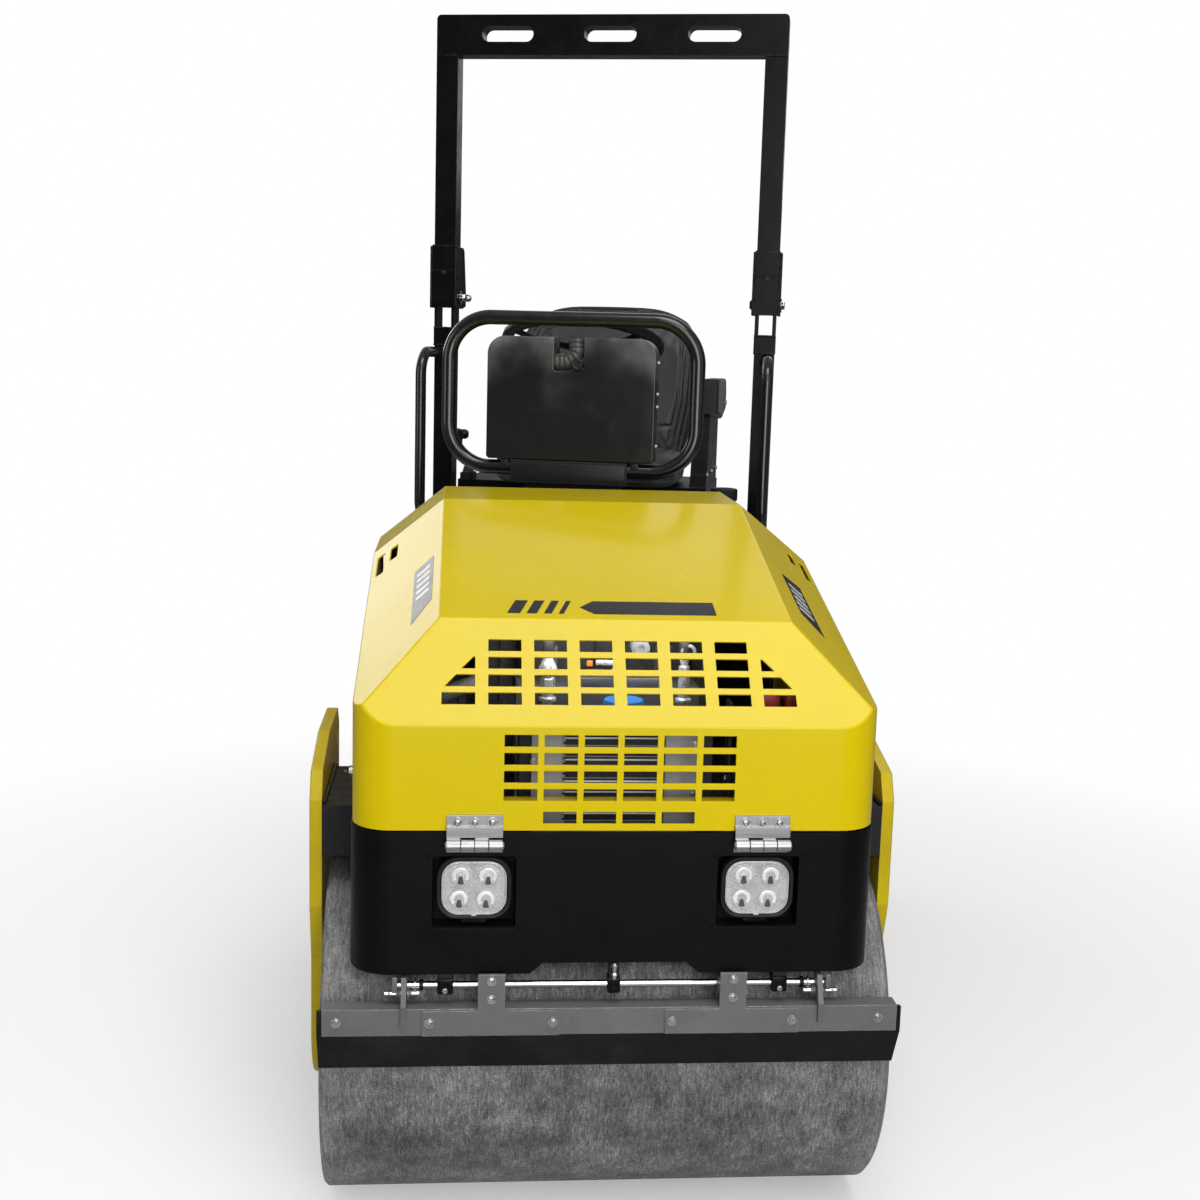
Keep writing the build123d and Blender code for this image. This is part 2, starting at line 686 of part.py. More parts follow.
# hitch: spine with closed ends, bolted to the plate before the rear drum
with BuildPart() as rear_hitch:
    with BuildSketch(Plane.XZ.offset(-s(90))):
        with Locations((0, 430)):
            Rectangle(200, 230)
    extrude(amount=-(REAR_Y - 354 - s(90)))
    with BuildSketch(Plane.XZ.offset(-s(105))):
        with Locations((0, 430)):
            Rectangle(172, 202)
    extrude(amount=-(REAR_Y - 368 - s(105)), mode=Mode.SUBTRACT)
    # bearing block round the pin
    with BuildSketch(Plane.XY.offset(362)):
        with Locations((0, PIVOT_Y)):
            Circle(72)
        with Locations((0, s(48))):
            Rectangle(110, 96)
    extrude(amount=136)
    with BuildSketch(Plane.XY.offset(362)):
        with Locations((0, PIVOT_Y)):
            Circle(30 + FIT)
    extrude(amount=136, mode=Mode.SUBTRACT)
    # platform carriers
    for gx in (-90, 90):
        with BuildSketch(Plane.XZ.offset(-s(90))):
            with Locations((gx, 575)):
                Rectangle(20, 60)
        extrude(amount=-270)
    # bracket under the steering cylinder's rod eye
    with BuildSketch(Plane.XY.offset(394)):
        with BuildLine():
            Polyline((99, s(140)), (215, s(170)), (226, s(200)), (215, s(226)),
                     (99, s(290)), close=True)
        make_face()
    extrude(amount=14)
save(rear_hitch.part, "rear_hitch", REAR_PLACE)

# steering cylinder, at its length in the parked pose
CYL_A = Vector(200, 405)
_a = radians(-STEER)
_bx, _by = 200.0, 200.0
CYL_B = Vector(_bx * cos(_a) - _by * sin(_a), PIVOT_Y + _bx * sin(_a) + _by * cos(_a))
CYL_DIR = (CYL_B - CYL_A).normalized()
CYL_LEN = (CYL_B - CYL_A).length
CYL_Z = 430.0
CYL = Plane(origin=(CYL_A.X, CYL_A.Y, CYL_Z), x_dir=(0, 0, 1),
            z_dir=(CYL_DIR.X, CYL_DIR.Y, 0))
with BuildPart() as steering_barrel:
    with BuildSketch(CYL.offset(30)):
        Circle(26)
    extrude(amount=270)
    with BuildSketch(Plane.XY.offset(CYL_Z - 20)):
        with Locations((CYL_A.X, CYL_A.Y)):
            Circle(22)
    extrude(amount=40)
    with BuildSketch(CYL):
        Rectangle(32, 30)
    extrude(amount=40)
    with BuildSketch(Plane.XY.offset(CYL_Z - 30)):
        with Locations((CYL_A.X, CYL_A.Y)):
            Circle(12 + FIT)
    extrude(amount=60, mode=Mode.SUBTRACT)
    with BuildSketch(CYL.offset(60)):
        Circle(12 + FIT)
    extrude(amount=250, mode=Mode.SUBTRACT)
save(steering_barrel.part, "steering_cylinder_barrel", FRONT_PLACE)

with BuildPart() as steering_rod:
    with BuildSketch(CYL.offset(150)):
        Circle(12)
    extrude(amount=CYL_LEN - 150 - 10)
    with BuildSketch(Plane.XY.offset(CYL_Z - 16)):
        with Locations((CYL_B.X, CYL_B.Y)):
            Circle(22)
    extrude(amount=32)
save(steering_rod.part, "steering_cylinder_rod", FRONT_PLACE)

# ---------------------------------------------------------------------------
# operator's platform
# ---------------------------------------------------------------------------
with BuildPart() as platform:
    with BuildSketch(Plane.XY.offset(605)) as floor_plan:
        with BuildLine():
            Polyline((-400, s(130)), (-170, s(-70)), (170, s(-70)), (400, s(130)),
                     (400, s(264)), (-400, s(264)), close=True)
        make_face()
    extrude(amount=8)
    # upstands beside the feet
    for side in (-1, 1):
        with BuildSketch(Plane.YZ.offset(side * 400)):
            with BuildLine():
                Polyline((s(130), 605), (s(130), 640), (s(264), 640), (s(264), 605),
                         close=True)
            make_face()
        extrude(amount=-side * 5)
save(platform.part, "platform", REAR_PLACE)

# seat box over the drum: hydraulic tank below, seat base above, filler beside it
BOX_S0, BOX_S1 = 262.0, 610.0
BOX_TOP, SEAT_BASE_Z = 1030.0, 1122.0
SEAT_X = -15.0                   # middle of the seat, from the machine's middle
with BuildPart() as seat_box:
    with BuildSketch(Plane.XY.offset(DECK_Z + DECK_T)):
        with Locations((0, s((BOX_S0 + BOX_S1) / 2))):
            Rectangle(690, BOX_S1 - BOX_S0)
    extrude(amount=BOX_TOP - DECK_Z - DECK_T)
    chamfer(seat_box.edges().filter_by(Axis.Y).group_by(Axis.Z)[-1], 25)
    # seat base, stepped down beside the filler
    with BuildSketch(Plane.XY.offset(BOX_TOP)):
        with Locations(((-320 + 258) / 2, s((BOX_S0 + BOX_S1) / 2))):
            Rectangle(258 + 320, BOX_S1 - BOX_S0)
    extrude(amount=SEAT_BASE_Z - BOX_TOP)
    # filler neck
    with BuildSketch(Plane.XY.offset(BOX_TOP - 40)):
        with Locations((296, s(320))):
            Circle(26)
    extrude(amount=1090 - BOX_TOP + 40)
save(seat_box.part, "seat_box", REAR_PLACE)

# seat: cushion and curved back shell
CUSHION_Z0, CUSHION_H = 1123.0, 82.0
with BuildPart() as seat_cushion:
    with BuildSketch(Plane.XY.offset(CUSHION_Z0)):
        with Locations((SEAT_X, s(335))):
            RectangleRounded(430, 330, 60)
    extrude(amount=CUSHION_H)
    fillet(seat_cushion.edges().group_by(Axis.Z)[-1], 32)
    fillet(seat_cushion.edges().group_by(Axis.Z)[0], 12)
save(seat_cushion.part, "seat_cushion", REAR_PLACE)

BACK_TILT = 10.0
BACK_S, BACK_Z0, BACK_T = 496.0, 1123.0, 80.0
BACK = Plane(origin=(SEAT_X, s(BACK_S), BACK_Z0), x_dir=(1, 0, 0),
             z_dir=(0, -cos(radians(BACK_TILT)), sin(radians(BACK_TILT))))
with BuildPart() as seat_backrest:
    with BuildSketch(BACK) as back_face:
        with BuildLine():
            Polyline((-196, 16), (196, 16), (221, 190), (222, 320), (196, 362),
                     (143, 403), (100, 424), (-100, 424), (-143, 403),
                     (-196, 362), (-222, 320), (-221, 190), close=True)
        make_face()
        fillet(back_face.vertices(), 24)
    extrude(amount=-BACK_T)
    fillet(seat_backrest.faces().sort_by(Axis.Y)[0].edges(), 22)
save(seat_backrest.part, "seat_backrest", REAR_PLACE)

ARM_X = 247.0                    # inner face of the armrest, from the seat's middle
with BuildPart() as armrest:
    with BuildSketch(Plane.YZ.offset(SEAT_X + ARM_X)):
        with BuildLine():
            Polyline((s(330), 1290), (s(326), 1350), (s(345), 1368), (s(580), 1368),
                     (s(605), 1340), (s(610), 1290), (s(490), 1272), close=True)
        make_face()
    extrude(amount=42)
    fillet(armrest.edges().filter_by(Axis.Y), 8)
save(armrest.part, "armrest", REAR_PLACE)

# side console that carries the armrest, standing on the seat base
with BuildPart() as seat_frame:
    with BuildSketch(Plane.YZ.offset(SEAT_X + 233)):
        with BuildLine():
            Polyline((s(272), SEAT_BASE_Z), (s(300), 1150), (s(345), 1285.3),
                     (s(490), 1271.7), (s(600), 1288.2), (s(600), SEAT_BASE_Z),
                     close=True)
        make_face()
    extrude(amount=38)
save(seat_frame.part, "seat_frame", REAR_PLACE)

# travel lever on the seat base, at the operator's other hand
with BuildPart() as travel_lever:
    with BuildSketch(Plane.XY.offset(SEAT_BASE_Z)):
        with Locations((-304, s(300))):
            RectangleRounded(28, 60, 6)
    extrude(amount=14)
    with BuildLine() as lever_path:
        FilletPolyline((-304, s(300), SEAT_BASE_Z + 8), (-304, s(300), SEAT_BASE_Z + 30),
                       (-326, s(278), SEAT_BASE_Z + 78), radius=14)
    with BuildSketch(Plane(origin=lever_path.line @ 0, z_dir=lever_path.line % 0)):
        Circle(6)
    sweep()
    with BuildSketch(Plane.XY.offset(1192)):
        with Locations((-328, s(277))):
            Circle(14)
    extrude(amount=46)
    fillet(travel_lever.edges().group_by(Axis.Z)[-1], 9)
save(travel_lever.part, "travel_lever", REAR_PLACE)

# console: instrument box on a pedestal
with BuildPart() as console:
    with BuildSketch(Plane.XZ.offset(-s(-98))) as face:
        with Locations((0, 1323)):
            Rectangle(350, 252)
        fillet(face.vertices().group_by(Axis.Z)[-1], 36)
    extrude(amount=-70)
    # notch where the column comes through
    with BuildSketch(Plane.XZ.offset(-s(-120))):
        with Locations((-5, 1425)):
            Rectangle(62, 90)
    extrude(amount=-110, mode=Mode.SUBTRACT)
save(console.part, "console", REAR_PLACE)

with BuildPart() as console_pedestal:
    with BuildSketch(Plane.XY.offset(613)):
        with Locations((0, s(-24))):
            Rectangle(200, 72)
    extrude(amount=1197 - 613)
    with BuildSketch(Plane.XY.offset(1172)):
        with Locations((0, s(-44))):
            Rectangle(250, 32)
    extrude(amount=25)
    # channel under and before the hoop's lower tube
    with BuildSketch(Plane.YZ.offset(-122)):
        with BuildLine():
            Polyline((s(-60), 1150), (s(-102), 1150), (s(-102), 1196), (s(-98), 1196),
                     (s(-98), 1156), (s(-60), 1156), close=True)
        make_face()
    extrude(amount=244)
save(console_pedestal.part, "console_pedestal", REAR_PLACE)

# guard hoop round the console
HOOP_HALF, HOOP_Z0, HOOP_Z1 = 259.0, 1179.0, 1486.0
with BuildPart() as hoop_guard:
    with BuildLine(Plane.XZ.offset(-s(HOOP_S))) as hoop_path:
        FilletPolyline((HOOP_HALF, HOOP_Z0), (HOOP_HALF, HOOP_Z1),
                       (-HOOP_HALF, HOOP_Z1), (-HOOP_HALF, HOOP_Z0),
                       close=True, radius=88)
    with BuildSketch(Plane(origin=hoop_path.line @ 0, z_dir=hoop_path.line % 0)):
        Circle(15)
    sweep()
    for side in (-1, 1):
        with BuildSketch(Plane.YZ.offset(side * 131)):
            with BuildLine():
                Polyline((s(-88), 1184), (s(-60), 1184), (s(-60), 1197),
                         (s(-88), 1197), close=True)
            make_face()
        extrude(amount=side * 10)
save(hoop_guard.part, "hoop_guard", REAR_PLACE)

# steering column and wheel
COL_TILT = 17.0
WHEEL_X = -12.0
WC = Vector(WHEEL_X, s(130), 1440)
COLP = Plane(origin=WC, x_dir=(1, 0, 0),
             z_dir=(0, sin(radians(COL_TILT)), cos(radians(COL_TILT))))
with BuildPart() as steering_column:
    with BuildSketch(COLP.offset(-48)):
        Circle(22)
    extrude(amount=-160)
    # bracket to the console's back
    with BuildSketch(Plane.XY.offset(1230)):
        with Locations((WHEEL_X, s(24))):
            Rectangle(64, 104)
    extrude(amount=46)
save(steering_column.part, "steering_column", REAR_PLACE)

with BuildPart() as steering_wheel:
    with BuildSketch(Plane(origin=WC, x_dir=(1, 0, 0),
                           z_dir=(0, -cos(radians(COL_TILT)), sin(radians(COL_TILT))))):
        with Locations((WHEEL_R - 13, 0)):
            Circle(13)
    revolve(axis=Axis(WC, COLP.z_dir))
    with BuildSketch(COLP.offset(-46)):
        Circle(34)
    extrude(amount=46)
    with BuildSketch(COLP.offset(-14)):
        for k in range(3):
            with Locations(Location((0, 0), 90 + 120 * k)):
                with Locations((82, 0)):
                    Rectangle(166, 26)
    extrude(amount=9)
save(steering_wheel.part, "steering_wheel", REAR_PLACE)

# ---------------------------------------------------------------------------
# roll bar: fixed lower posts with fork cheeks, folding upper frame
# ---------------------------------------------------------------------------
PX = ROPS_HALF - POST / 2
LUG_R = 25.5
with BuildPart() as rops_posts:
    for side in (-1, 1):
        with BuildSketch(Plane.XY.offset(641)):
            with Locations((side * PX, s(ROPS_S))):
                Rectangle(45, POST)
        extrude(amount=1469 - 641)
        # head block below the window
        with BuildSketch(Plane.XY.offset(1428)):
            with Locations((side * PX, s(ROPS_S))):
                Rectangle(48, POST + 6)
        extrude(amount=41)
        # fork cheeks
        for edge in (-1, 1):
            with BuildSketch(Plane.YZ.offset(side * PX + edge * 16.5)):
                with Locations((s(ROPS_S), (1428 + ROPS_PIN_Z) / 2)):
                    Rectangle(2 * LUG_R, ROPS_PIN_Z - 1428)
                with Locations((s(ROPS_S), ROPS_PIN_Z)):
                    Circle(LUG_R)
            extrude(amount=edge * 7)
        with BuildSketch(Plane.YZ.offset(side * PX - 38)):
            with Locations((s(ROPS_S), ROPS_PIN_Z)):
                Circle(9)
        extrude(amount=76)
        # foot
        with BuildSketch(Plane.XY.offset(617)):
            with Locations((side * (PX + 2), s(ROPS_S))):
                Rectangle(50, 110)
        extrude(amount=24)
        with BuildSketch(Plane.YZ.offset(side * (PX - 22.5))):
            with BuildLine():
                Polyline((s(ROPS_S - 55), 641), (s(ROPS_S - 25), 720),
                         (s(ROPS_S + 25), 720), (s(ROPS_S + 55), 641), close=True)
            make_face()
        extrude(amount=side * 6)
save(rops_posts.part, "rops_posts", REAR_PLACE)

SLEEVE_Z0, SLEEVE_Z1 = 1514.0, 1654.0
with BuildPart() as rops_upper:
    with BuildSketch(Plane.XZ.offset(-s(ROPS_S - POST / 2))) as portal:
        with Locations((0, (1600 + ROPS_TOP) / 2)):
            Rectangle(2 * ROPS_HALF, ROPS_TOP - 1600)
        fillet(portal.vertices().group_by(Axis.Z)[-1], 10)
        with Locations((0, (1600 + ROPS_TOP - 88) / 2 - 20)):
            Rectangle(2 * (ROPS_HALF - POST), ROPS_TOP - 88 - 1600 + 40, mode=Mode.SUBTRACT)
    extrude(amount=-POST)
    # three obround slots through the head beam
    with BuildSketch(Plane.XZ.offset(-s(ROPS_S - POST))):
        with Locations((-234, ROPS_TOP - 42), (0, ROPS_TOP - 42), (234, ROPS_TOP - 42)):
            SlotOverall(118, 34)
    extrude(amount=-2 * POST, mode=Mode.SUBTRACT)
    # hinge sleeves: channels open to the rear, over the fork cheeks
    for side in (-1, 1):
        with BuildSketch(Plane.XY.offset(SLEEVE_Z0)):
            with Locations((side * PX, s(ROPS_S - 4))):
                Rectangle(64, POST + 14)
            with Locations((side * PX, s(ROPS_S))):
                Rectangle(52, POST + 26 + 28, mode=Mode.SUBTRACT)
            with Locations((side * PX, s(ROPS_S - 33.5))):
                Rectangle(64, 5)
        extrude(amount=SLEEVE_Z1 - SLEEVE_Z0)
        with BuildSketch(Plane.XY.offset(1600)):
            with Locations((side * PX, s(ROPS_S))):
                Rectangle(56, POST)
        extrude(amount=SLEEVE_Z1 - 1600)
        with BuildSketch(Plane.XY.offset(1600)):
            with Locations((side * PX, s(ROPS_S - 30))):
                Rectangle(56, 14)
        extrude(amount=SLEEVE_Z1 - 1600)
        with BuildSketch(Plane.YZ.offset(side * PX - 40)):
            with Locations((s(ROPS_S), ROPS_PIN_Z)):
                Circle(9.05)
        extrude(amount=80, mode=Mode.SUBTRACT)
save(rops_upper.part, "rops_upper_frame", REAR_PLACE)

# grab rails on the posts
with BuildPart() as grab_rails:
    for side in (-1, 1):
        with BuildLine() as rail:
            FilletPolyline((side * (PX + 8), s(ROPS_S - 25.8), 1412),
                           (side * (PX + 16), s(180), 1412),
                           (side * (PX + 16), s(180), 1030),
                           (side * (PX + 8), s(ROPS_S - 25.8), 1030), radius=50)
        with BuildSketch(Plane(origin=rail.line @ 0, z_dir=rail.line % 0)):
            Circle(12)
        sweep()
save(grab_rails.part, "grab_rails", REAR_PLACE)

# ---------------------------------------------------------------------------
# tail: water tank, its cap, sheet tail panel and lamps
# ---------------------------------------------------------------------------
TANK_S0, TANK_S1 = 640.0, 1000.0
with BuildPart() as water_tank:
    with BuildSketch(Plane.XY.offset(BEAM_Z)):
        with Locations((0, s((TANK_S0 + TANK_S1) / 2))):
            Rectangle(760, TANK_S1 - TANK_S0)
    extrude(amount=230)
    chamfer(water_tank.edges().filter_by(Axis.X).group_by(Axis.Z)[-1].sort_by(Axis.Y)[-1:], 70)
    fillet(water_tank.edges().filter_by(Axis.Z), 30)
save(water_tank.part, "water_tank", REAR_PLACE)

# screw caps of the filler neck and of the water tank
with BuildPart() as tank_caps:
    with BuildSketch(Plane.XY.offset(1090)):
        with Locations((296, s(320))):
            Circle(31)
    extrude(amount=30)
    with BuildSketch(Plane.XY.offset(920)):
        with Locations((-220, s(780))):
            Circle(52)
    extrude(amount=28)
    fillet(tank_caps.faces().filter_by(Plane.XY).filter_by(
        lambda f: abs(f.center().Z - 1120) < 1 or abs(f.center().Z - 948) < 1).edges(), 4)
save(tank_caps.part, "tank_caps", REAR_PLACE)

TAIL_Y = REAR_Y + 331
with BuildPart() as tail_panel:
    with BuildSketch(Plane.XY.offset(500)) as plan:
        with Locations((0, TAIL_Y - 95)):
            Rectangle(2 * (HOOD_X + 2), 190)
        fillet(plan.vertices().group_by(Axis.Y)[-1], CORNER_R)
    extrude(amount=BEAM_Z - 4 - 500)
    with BuildSketch(Plane.XY.offset(499)) as plan_in:
        with Locations((0, TAIL_Y - 4 - 110)):
            Rectangle(2 * (HOOD_X - 2), 220)
        fillet(plan_in.vertices().group_by(Axis.Y)[-1], CORNER_R - 4)
    extrude(amount=BEAM_Z - 500, mode=Mode.SUBTRACT)
    with BuildSketch(Plane.XY.offset(DECK_Z)):
        with Locations((0, TAIL_Y - 24)):
            Rectangle(400, 44)
    extrude(amount=DECK_T)
    with BuildSketch(Plane.YZ.offset(-500)):
        with Locations((REAR_Y, DRUM_R)):
            Circle(DRUM_R + 18)
    extrude(amount=1000, mode=Mode.SUBTRACT)
    for side in (-1, 1):
        with BuildSketch(Plane.XZ.offset(-TAIL_Y - 10)):
            with Locations((side * 300, 572)):
                RectangleRounded(100, 60, 8)
        extrude(amount=60, mode=Mode.SUBTRACT)
save(tail_panel.part, "tail_panel", REAR_PLACE)

with BuildPart() as tail_lamps:
    for side in (-1, 1):
        with BuildSketch(Plane.XZ.offset(-(TAIL_Y + 6))):
            with Locations((side * 300, 572)):
                RectangleRounded(112, 72, 12)
        extrude(amount=6)
        with BuildSketch(Plane.XZ.offset(-(TAIL_Y))):
            with Locations((side * 300, 572)):
                RectangleRounded(98, 58, 7)
        extrude(amount=30)
save(tail_lamps.part, "tail_lamps", REAR_PLACE)
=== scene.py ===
from math import atan2, ceil, cos, hypot, pi, radians, sin, sqrt, tan

import bmesh
import bpy
import numpy as np
from mathutils.bvhtree import BVHTree
from mathutils import Matrix, Vector


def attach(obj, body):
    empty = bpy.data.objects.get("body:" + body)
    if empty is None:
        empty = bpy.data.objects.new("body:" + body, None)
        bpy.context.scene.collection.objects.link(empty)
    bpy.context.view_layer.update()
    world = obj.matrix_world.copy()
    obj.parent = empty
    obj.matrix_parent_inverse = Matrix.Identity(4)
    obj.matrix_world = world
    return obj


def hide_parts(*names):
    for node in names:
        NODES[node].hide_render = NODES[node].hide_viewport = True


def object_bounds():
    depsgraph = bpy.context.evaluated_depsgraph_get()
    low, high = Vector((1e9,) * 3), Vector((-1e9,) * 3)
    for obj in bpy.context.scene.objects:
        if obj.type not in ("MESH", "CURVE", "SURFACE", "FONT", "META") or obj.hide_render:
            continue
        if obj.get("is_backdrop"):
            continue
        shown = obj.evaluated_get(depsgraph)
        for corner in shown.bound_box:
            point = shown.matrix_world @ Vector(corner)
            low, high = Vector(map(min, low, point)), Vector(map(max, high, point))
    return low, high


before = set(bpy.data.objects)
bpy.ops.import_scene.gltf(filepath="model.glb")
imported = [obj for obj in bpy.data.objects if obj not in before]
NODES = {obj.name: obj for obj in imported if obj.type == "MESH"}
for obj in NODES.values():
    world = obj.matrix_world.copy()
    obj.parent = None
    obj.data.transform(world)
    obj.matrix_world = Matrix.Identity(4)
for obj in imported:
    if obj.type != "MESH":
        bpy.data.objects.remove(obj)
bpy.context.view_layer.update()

# ---------------------------------------------------------------------------
# machine coordinates: millimetres, front frame as it lies, rear frame steered
# about the centre pivot; a rear point is (lateral, behind the pivot, height)
# ---------------------------------------------------------------------------
OX, OY, PIVOT, STEER = 0.102446, 0.756076, 0.725, radians(13.4)
MM = Matrix.Scale(0.001, 4)
FRONT = Matrix.Translation((-OX, -OY, 0)) @ MM
REAR = (Matrix.Translation((-OX, -OY, 0)) @ Matrix.Translation((0, PIVOT, 0))
        @ Matrix.Rotation(-STEER, 4, "Z") @ MM)
SEAT_X = -15.0
WHEEL_X = -12.0


def T(x, y, z):
    return Matrix.Translation((x, y, z))


def rot(deg, axis):
    return Matrix.Rotation(radians(deg), 4, axis)


def toward(pos, axis, up=(0, 0, 1)):
    """matrix at pos whose Z runs along axis"""
    z = Vector(axis).normalized()
    u = Vector(up)
    if abs(z.dot(u.normalized())) > 0.98:
        u = Vector((0, 1, 0))
    x = u.cross(z).normalized()
    y = z.cross(x)
    m = Matrix((x, y, z)).transposed().to_4x4()
    m.translation = pos
    return m


# ---------------------------------------------------------------------------
# shapes, each returned as its own bmesh
# ---------------------------------------------------------------------------
def b_loops(loops, cap0=True, cap1=True, closed=True, ring=False):
    bm = bmesh.new()
    rows = [[bm.verts.new(p) for p in loop] for loop in loops]
    n = len(rows[0])
    pairs = list(zip(rows, rows[1:]))
    if ring:
        pairs.append((rows[-1], rows[0]))
    for a, b in pairs:
        for i in range(n if closed else n - 1):
            j = (i + 1) % n
            bm.faces.new((a[i], a[j], b[j], b[i]))
    if not ring:
        if cap0:
            bm.faces.new(rows[0][::-1])
        if cap1:
            bm.faces.new(rows[-1])
    bmesh.ops.recalc_face_normals(bm, faces=bm.faces)
    return bm


def b_box(sx, sy, sz, r=1.0, seg=2):
    bm = bmesh.new()
    bmesh.ops.create_cube(bm, size=1.0)
    bmesh.ops.scale(bm, vec=(sx, sy, sz), verts=bm.verts)
    if r > 0:
        bmesh.ops.bevel(bm, geom=list(bm.edges), offset=min(r, 0.49 * min(sx, sy, sz)),
                        segments=seg, profile=0.6, affect="EDGES")
    return bm


def b_prism(pts, depth, r=0.6, seg=2):
    """outline in XY, from z 0 to depth, with its rims rounded by r"""
    bm = bmesh.new()
    base = bm.faces.new([bm.verts.new((x, y, 0)) for x, y in pts])
    got = bmesh.ops.extrude_face_region(bm, geom=[base])
    for v in got["geom"]:
        if isinstance(v, bmesh.types.BMVert):
            v.co.z += depth
    bmesh.ops.recalc_face_normals(bm, faces=bm.faces)
    if r > 0:
        rim = [e for e in bm.edges if abs(e.verts[0].co.z - e.verts[1].co.z) < 1e-6]
        bmesh.ops.bevel(bm, geom=rim, offset=r, segments=seg, profile=0.6, affect="EDGES")
    return bm


def rrect(w, h, r, n=6, cx=0.0, cy=0.0):
    pts = []
    for k, (sx, sy) in enumerate(((1, 1), (-1, 1), (-1, -1), (1, -1))):
        for i in range(n + 1):
            a = pi / 2 * (k + i / n)
            pts.append((cx + sx * (w / 2 - r) + r * cos(a), cy + sy * (h / 2 - r) + r * sin(a)))
    return pts


def at_z(pts, z):
    return [(x, y, z) for x, y in pts]


def b_lathe(profile, seg=32, start=0.0):
    """profile of (radius, height) turned about Z; radius 0 closes an end"""
    bm = bmesh.new()
    rows = []
    for r, z in profile:
        if r <= 1e-6:
            rows.append([bm.verts.new((0, 0, z))])
        else:
            rows.append([bm.verts.new((r * cos(start + 2 * pi * i / seg),
                                       r * sin(start + 2 * pi * i / seg), z))
                         for i in range(seg)])
    for a, b in zip(rows, rows[1:]):
        for i in range(seg):
            j = (i + 1) % seg
            if len(a) == 1 and len(b) == 1:
                continue
            if len(a) == 1:
                bm.faces.new((a[0], b[j], b[i]))
            elif len(b) == 1:
                bm.faces.new((a[i], a[j], b[0]))
            else:
                bm.faces.new((a[i], a[j], b[j], b[i]))
    for row in (rows[0], rows[-1]):
        if len(row) > 1:
            bm.faces.new(row)
    bmesh.ops.recalc_face_normals(bm, faces=bm.faces)
    return bm


def rounded_path(pts, radius, closed=False, step=8):
    """runs joined by arcs"""
    P = [Vector(p) for p in pts]
    n = len(P)
    out = []
    idx = range(n) if closed else range(1, n - 1)
    if not closed:
        out.append(P[0])
    for i in idx:
        a, b, c = P[i - 1], P[i], P[(i + 1) % n]
        u, v = (a - b).normalized(), (c - b).normalized()
        ang = u.angle(v)
        if ang > pi - 0.02:
            out.append(b)
            continue
        d = radius / tan(ang / 2)
        d = min(d, 0.48 * (a - b).length, 0.48 * (c - b).length)
        rr = d * tan(ang / 2)
        centre = b + (u + v).normalized() * (rr / sin(ang / 2))
        s, e = b + u * d, b + v * d
        x = (s - centre).normalized()
        axis = x.cross((e - centre).normalized()).normalized()
        sweep = pi - ang
        k = max(2, int(ceil(sweep / (pi / 2) * step)))
        for t in range(k + 1):
            out.append(centre + Matrix.Rotation(sweep * t / k, 3, axis) @ x * rr)
    if not closed:
        out.append(P[-1])
    return out


def b_tube(path, radius, seg=14, closed=False, caps=True):
    """radius is a number or a function of the share of the path"""
    P = [Vector(p) for p in path]
    n = len(P)
    rows = []
    normal = None
    for i in range(n):
        if closed:
            t = (P[(i + 1) % n] - P[i - 1]).normalized()
        else:
            t = (P[min(i + 1, n - 1)] - P[max(i - 1, 0)]).normalized()
        if normal is None:
            ref = Vector((0, 0, 1)) if abs(t.z) < 0.9 else Vector((1, 0, 0))
            normal = (ref - t * ref.dot(t)).normalized()
        else:
            normal = (normal - t * normal.dot(t)).normalized()
        side = t.cross(normal)
        r = radius(i / max(1, n - 1)) if callable(radius) else radius
        rows.append([P[i] + (normal * cos(2 * pi * k / seg) + side * sin(2 * pi * k / seg)) * r
                     for k in range(seg)])
    return b_loops(rows, cap0=caps, cap1=caps, ring=closed)


def hexagon(af, z, k=1.0):
    r = af / 2 / cos(pi / 6) * k
    return [(r * cos(pi / 3 * i), r * sin(pi / 3 * i), z) for i in range(6)]


